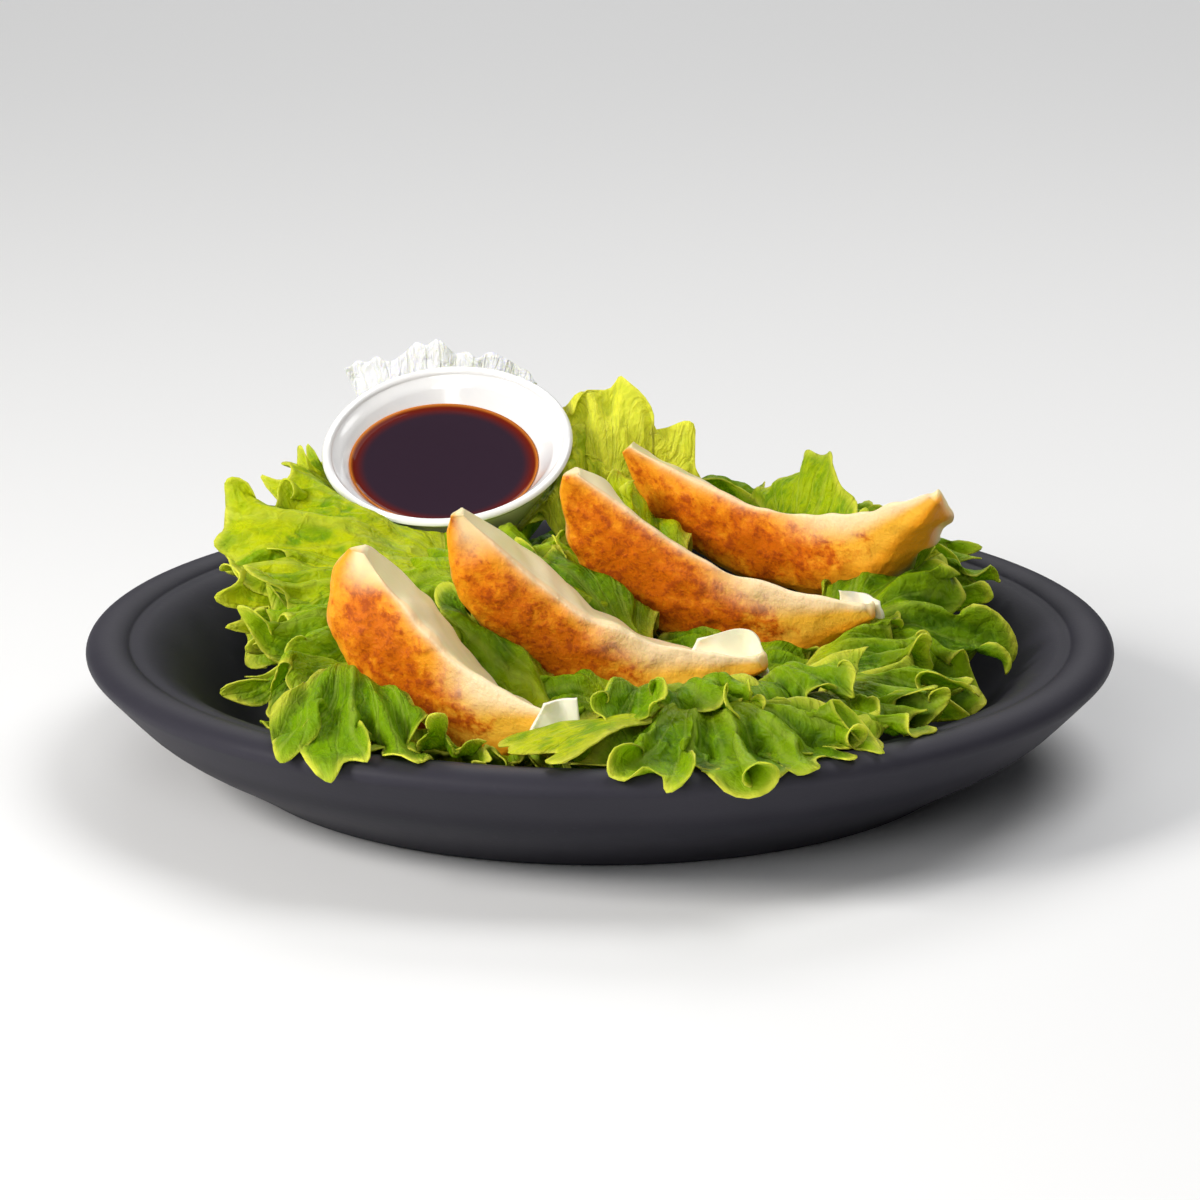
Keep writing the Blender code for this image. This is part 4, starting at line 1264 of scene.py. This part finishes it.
def core_mesh(material, shelter):
    """What is left of the heap under the torn leaves: lower, smaller and crumpled."""
    heap = bpy.data.objects["lettuce_heap"]
    tree = BVHTree.FromPolygons([v.co / MM for v in heap.data.vertices],
                                [list(f.vertices) for f in heap.data.polygons])
    low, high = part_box("lettuce_heap")
    centre = (np.array(low[:2]) + np.array(high[:2])) / 2 / MM
    half = (np.array(high[:2]) - np.array(low[:2])) / 2 / MM * 0.84
    rings, around = 34, 120
    angle = np.linspace(0, math.tau, around, endpoint=False)
    top, bottom = [], []
    for part in np.linspace(0.02, 1.0, rings):
        for a in angle:
            x, y = centre + half * part * np.array((math.cos(a), math.sin(a)))
            hit = tree.ray_cast(Vector((x, y, 200.0)), Vector((0, 0, -1)))
            under = float(shelter.floor(x, y)) + 0.3
            above = hit[0].z - 2.0 if hit[0] else under + 1.0
            top.append((x, y, max(above - 12.0 * part ** 5, under + 0.6)))
            bottom.append((x, y, under))
    top, bottom = np.array(top), np.array(bottom)
    rng = np.random.default_rng(3)
    crumple = np.minimum(1.0, (top[:, 2] - bottom[:, 2]) / 8)
    top[:, 2] += crumple * (1.1 * rumple(top, 7.0, rng) + 0.6 * rumple(top, 3.0, rng)) - 0.8
    top[:, 2] = np.maximum(top[:, 2], bottom[:, 2] + 0.4)
    points = np.vstack([top, bottom])
    faces = grid_faces(rings, around, wrap=True)
    faces += grid_faces(rings, around, wrap=True, start=len(top), flip=True)
    last = (rings - 1) * around
    for j in range(around):
        k = (j + 1) % around
        faces.append((last + j, last + k, len(top) + last + k, len(top) + last + j))
    faces.append(tuple(range(around)))
    faces.append(tuple(range(len(top), len(top) + around)))
    count = len(points)
    # fold at 0.1 keeps the whole core in the darker valley colour: painted shade in the gaps
    # between the leaves.
    masks = {"fold": np.full(count, 0.1), "from_edge": np.full(count, 1.0),
             "out": np.full(count, 0.9), "turn": points[:, 0] / 60}
    obj = mesh_object("lettuce_core_in_painted_shade", points, faces, material, masks)
    face_out(obj)
    return obj


class GYOZA_OT_lettuce(bpy.types.Operator):
    """Lay the frilled leaves and the torn heap"""
    bl_idname = "gyoza.lettuce"
    bl_label = "Lettuce"

    def execute(self, context):
        settings = context.scene.gyoza_lettuce
        shelter = Shelter(["bowl_glazed"] + [f"dumpling_{n}" for n in range(1, 5)],
                          context.scene.gyoza_plate)
        tree, pattern = leaf_tree(), leaf_pattern()
        # The core gets the darkest tone: painted shade in the gaps between the leaves.
        core = core_mesh(leaf_material(settings, pattern, "lettuce_core_in_painted_shade", 1.0), shelter)
        finish_piece(core, "lettuce", "lettuce_heap")
        leaves = [dict(leaf, name=leaf["node"] + "_frilled") for leaf in LEAVES]
        leaves += [dict(torn_leaf(i), name=f"torn_leaf_{i + 1}") for i in range(len(TORN))]
        leaves = [dict(PLAIN_LEAF, **leaf) for leaf in leaves]
        for number, leaf in enumerate(leaves):
            rng = np.random.default_rng(700 + number)
            spokes = max(40, int(settings.spokes * leaf["spread"] / 150))
            grid, masks = leaf_grid(leaf, settings.rows, spokes, rng, shelter,
                                    settings.thickness / MM / 2 + 0.35)
            material = leaf_material(settings, pattern, leaf["name"], leaf["tone"])
            obj = mesh_object(leaf["name"], grid.reshape(-1, 3),
                              grid_faces(*grid.shape[:2]), material, masks)
            baked_modifier(obj, tree, {
                "Pucker": settings.pucker * leaf["blister"], "Pucker size": 8.0 * MM,
                "Thickness": settings.thickness, "Seed": float(number),
                "Material": material})
            face_out(obj)
            finish_piece(obj, "lettuce", *([leaf["node"]] if "node" in leaf else []))
        return {"FINISHED"}


# ================================================================ stage

# Soft round lights, in watts and metres. They face the food unless an aim is given.
LIGHTS = (
    dict(name="key", power=17.0, size=0.6, location=(-1.05, -0.55, 0.75),
         tint=(1.0, 0.98, 0.95)),
    dict(name="top", power=7.5, size=0.9, location=(0.5, 0.2, 1.2)),
    dict(name="front", power=6.4, size=0.8, location=(-0.25, -1.25, 0.75)),
    dict(name="far_floor", power=90.0, size=3.0, location=(0.0, 3.6, 2.4),
         aim=(0.0, 4.0, 0.0)),
)
FLOOR_HALF = 6000.0
FLOOR_LEVEL = -0.2


def area_light(name, power, size, location, aim, tint=(1.0, 1.0, 1.0)):
    light = bpy.data.lights.new(name, "AREA")
    light.energy, light.shape, light.size, light.color = power, "DISK", size, tint
    obj = bpy.data.objects.new(name, light)
    obj.location = location
    obj.rotation_euler = (Vector(aim) - Vector(location)).to_track_quat("-Z", "Y").to_euler()
    bpy.context.scene.collection.objects.link(obj)


class GYOZA_OT_stage(bpy.types.Operator):
    """Set the pale floor, the soft lights and the camera"""
    bl_idname = "gyoza.stage"
    bl_label = "Stage"

    def execute(self, context):
        stage = context.scene.gyoza_stage
        material = shader("pale_floor", Roughness=0.7, Base_Color=(*stage.floor, 1.0))[0]
        corners = [(x * FLOOR_HALF, y * FLOOR_HALF, FLOOR_LEVEL)
                   for x, y in ((-1, -1), (1, -1), (1, 1), (-1, 1))]
        floor = mesh_object("floor", corners, [(0, 1, 2, 3)], material)

        aim = Vector((0, 0, stage.aim_height))
        away = Vector((0, -math.cos(stage.elevation), math.sin(stage.elevation)))
        camera = bpy.data.cameras.new("camera")
        camera.lens, camera.sensor_width = stage.lens, 36.0
        obj = bpy.data.objects.new("camera", camera)
        obj.location = aim + away * stage.distance
        obj.rotation_euler = (-away).to_track_quat("-Z", "Y").to_euler()
        context.scene.collection.objects.link(obj)
        context.scene.camera = obj

        for light in LIGHTS:
            area_light(**{"aim": aim, **light})
        world = bpy.data.worlds.new("studio")
        world.use_nodes = True
        background = world.node_tree.nodes["Background"]
        background.inputs["Color"].default_value = (0.95, 0.97, 1.0, 1.0)
        background.inputs["Strength"].default_value = 0.08
        context.scene.world = world
        context.scene.view_settings.view_transform = "Standard"
        return {"FINISHED"}


# ================================================================ add-on

class GYOZA_PT_panel(bpy.types.Panel):
    """Lists what the dish is made of"""
    bl_idname = "GYOZA_PT_panel"
    bl_label = "Plated Gyoza"
    bl_space_type = "VIEW_3D"
    bl_region_type = "UI"
    bl_category = "Gyoza"

    def draw(self, context):
        for operator, settings in STEPS:
            box = self.layout.box()
            box.operator(operator.bl_idname)
            for group_name in settings:
                group_settings = getattr(context.scene, group_name)
                for key in group_settings.__annotations__:
                    box.prop(group_settings, key)


STEPS = (
    (GYOZA_OT_plate, ("gyoza_plate",)),
    (GYOZA_OT_dip_bowl, ("gyoza_bowl", "gyoza_sauce")),
    (GYOZA_OT_dumplings, ("gyoza_dumplings",)),
    (GYOZA_OT_lettuce, ("gyoza_lettuce",)),
    (GYOZA_OT_stage, ("gyoza_stage",)),
)
SETTINGS = {"gyoza_plate": PlateSettings, "gyoza_bowl": BowlSettings,
            "gyoza_sauce": SauceSettings, "gyoza_dumplings": DumplingSettings,
            "gyoza_lettuce": LettuceSettings, "gyoza_stage": StageSettings}


def register():
    for key, settings in SETTINGS.items():
        bpy.utils.register_class(settings)
        setattr(bpy.types.Scene, key, PointerProperty(type=settings))
    for operator, _ in STEPS:
        bpy.utils.register_class(operator)
    bpy.utils.register_class(GYOZA_PT_panel)


def unregister():
    bpy.utils.unregister_class(GYOZA_PT_panel)
    for operator, _ in STEPS:
        bpy.utils.unregister_class(operator)
    for key, settings in SETTINGS.items():
        delattr(bpy.types.Scene, key)
        bpy.utils.unregister_class(settings)


def main():
    register()
    bpy.ops.gyoza.plate()
    bpy.ops.gyoza.dip_bowl()
    bpy.ops.gyoza.dumplings()
    bpy.ops.gyoza.lettuce()
    bpy.ops.gyoza.stage()
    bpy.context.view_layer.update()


if __name__ == "__main__":
    main()
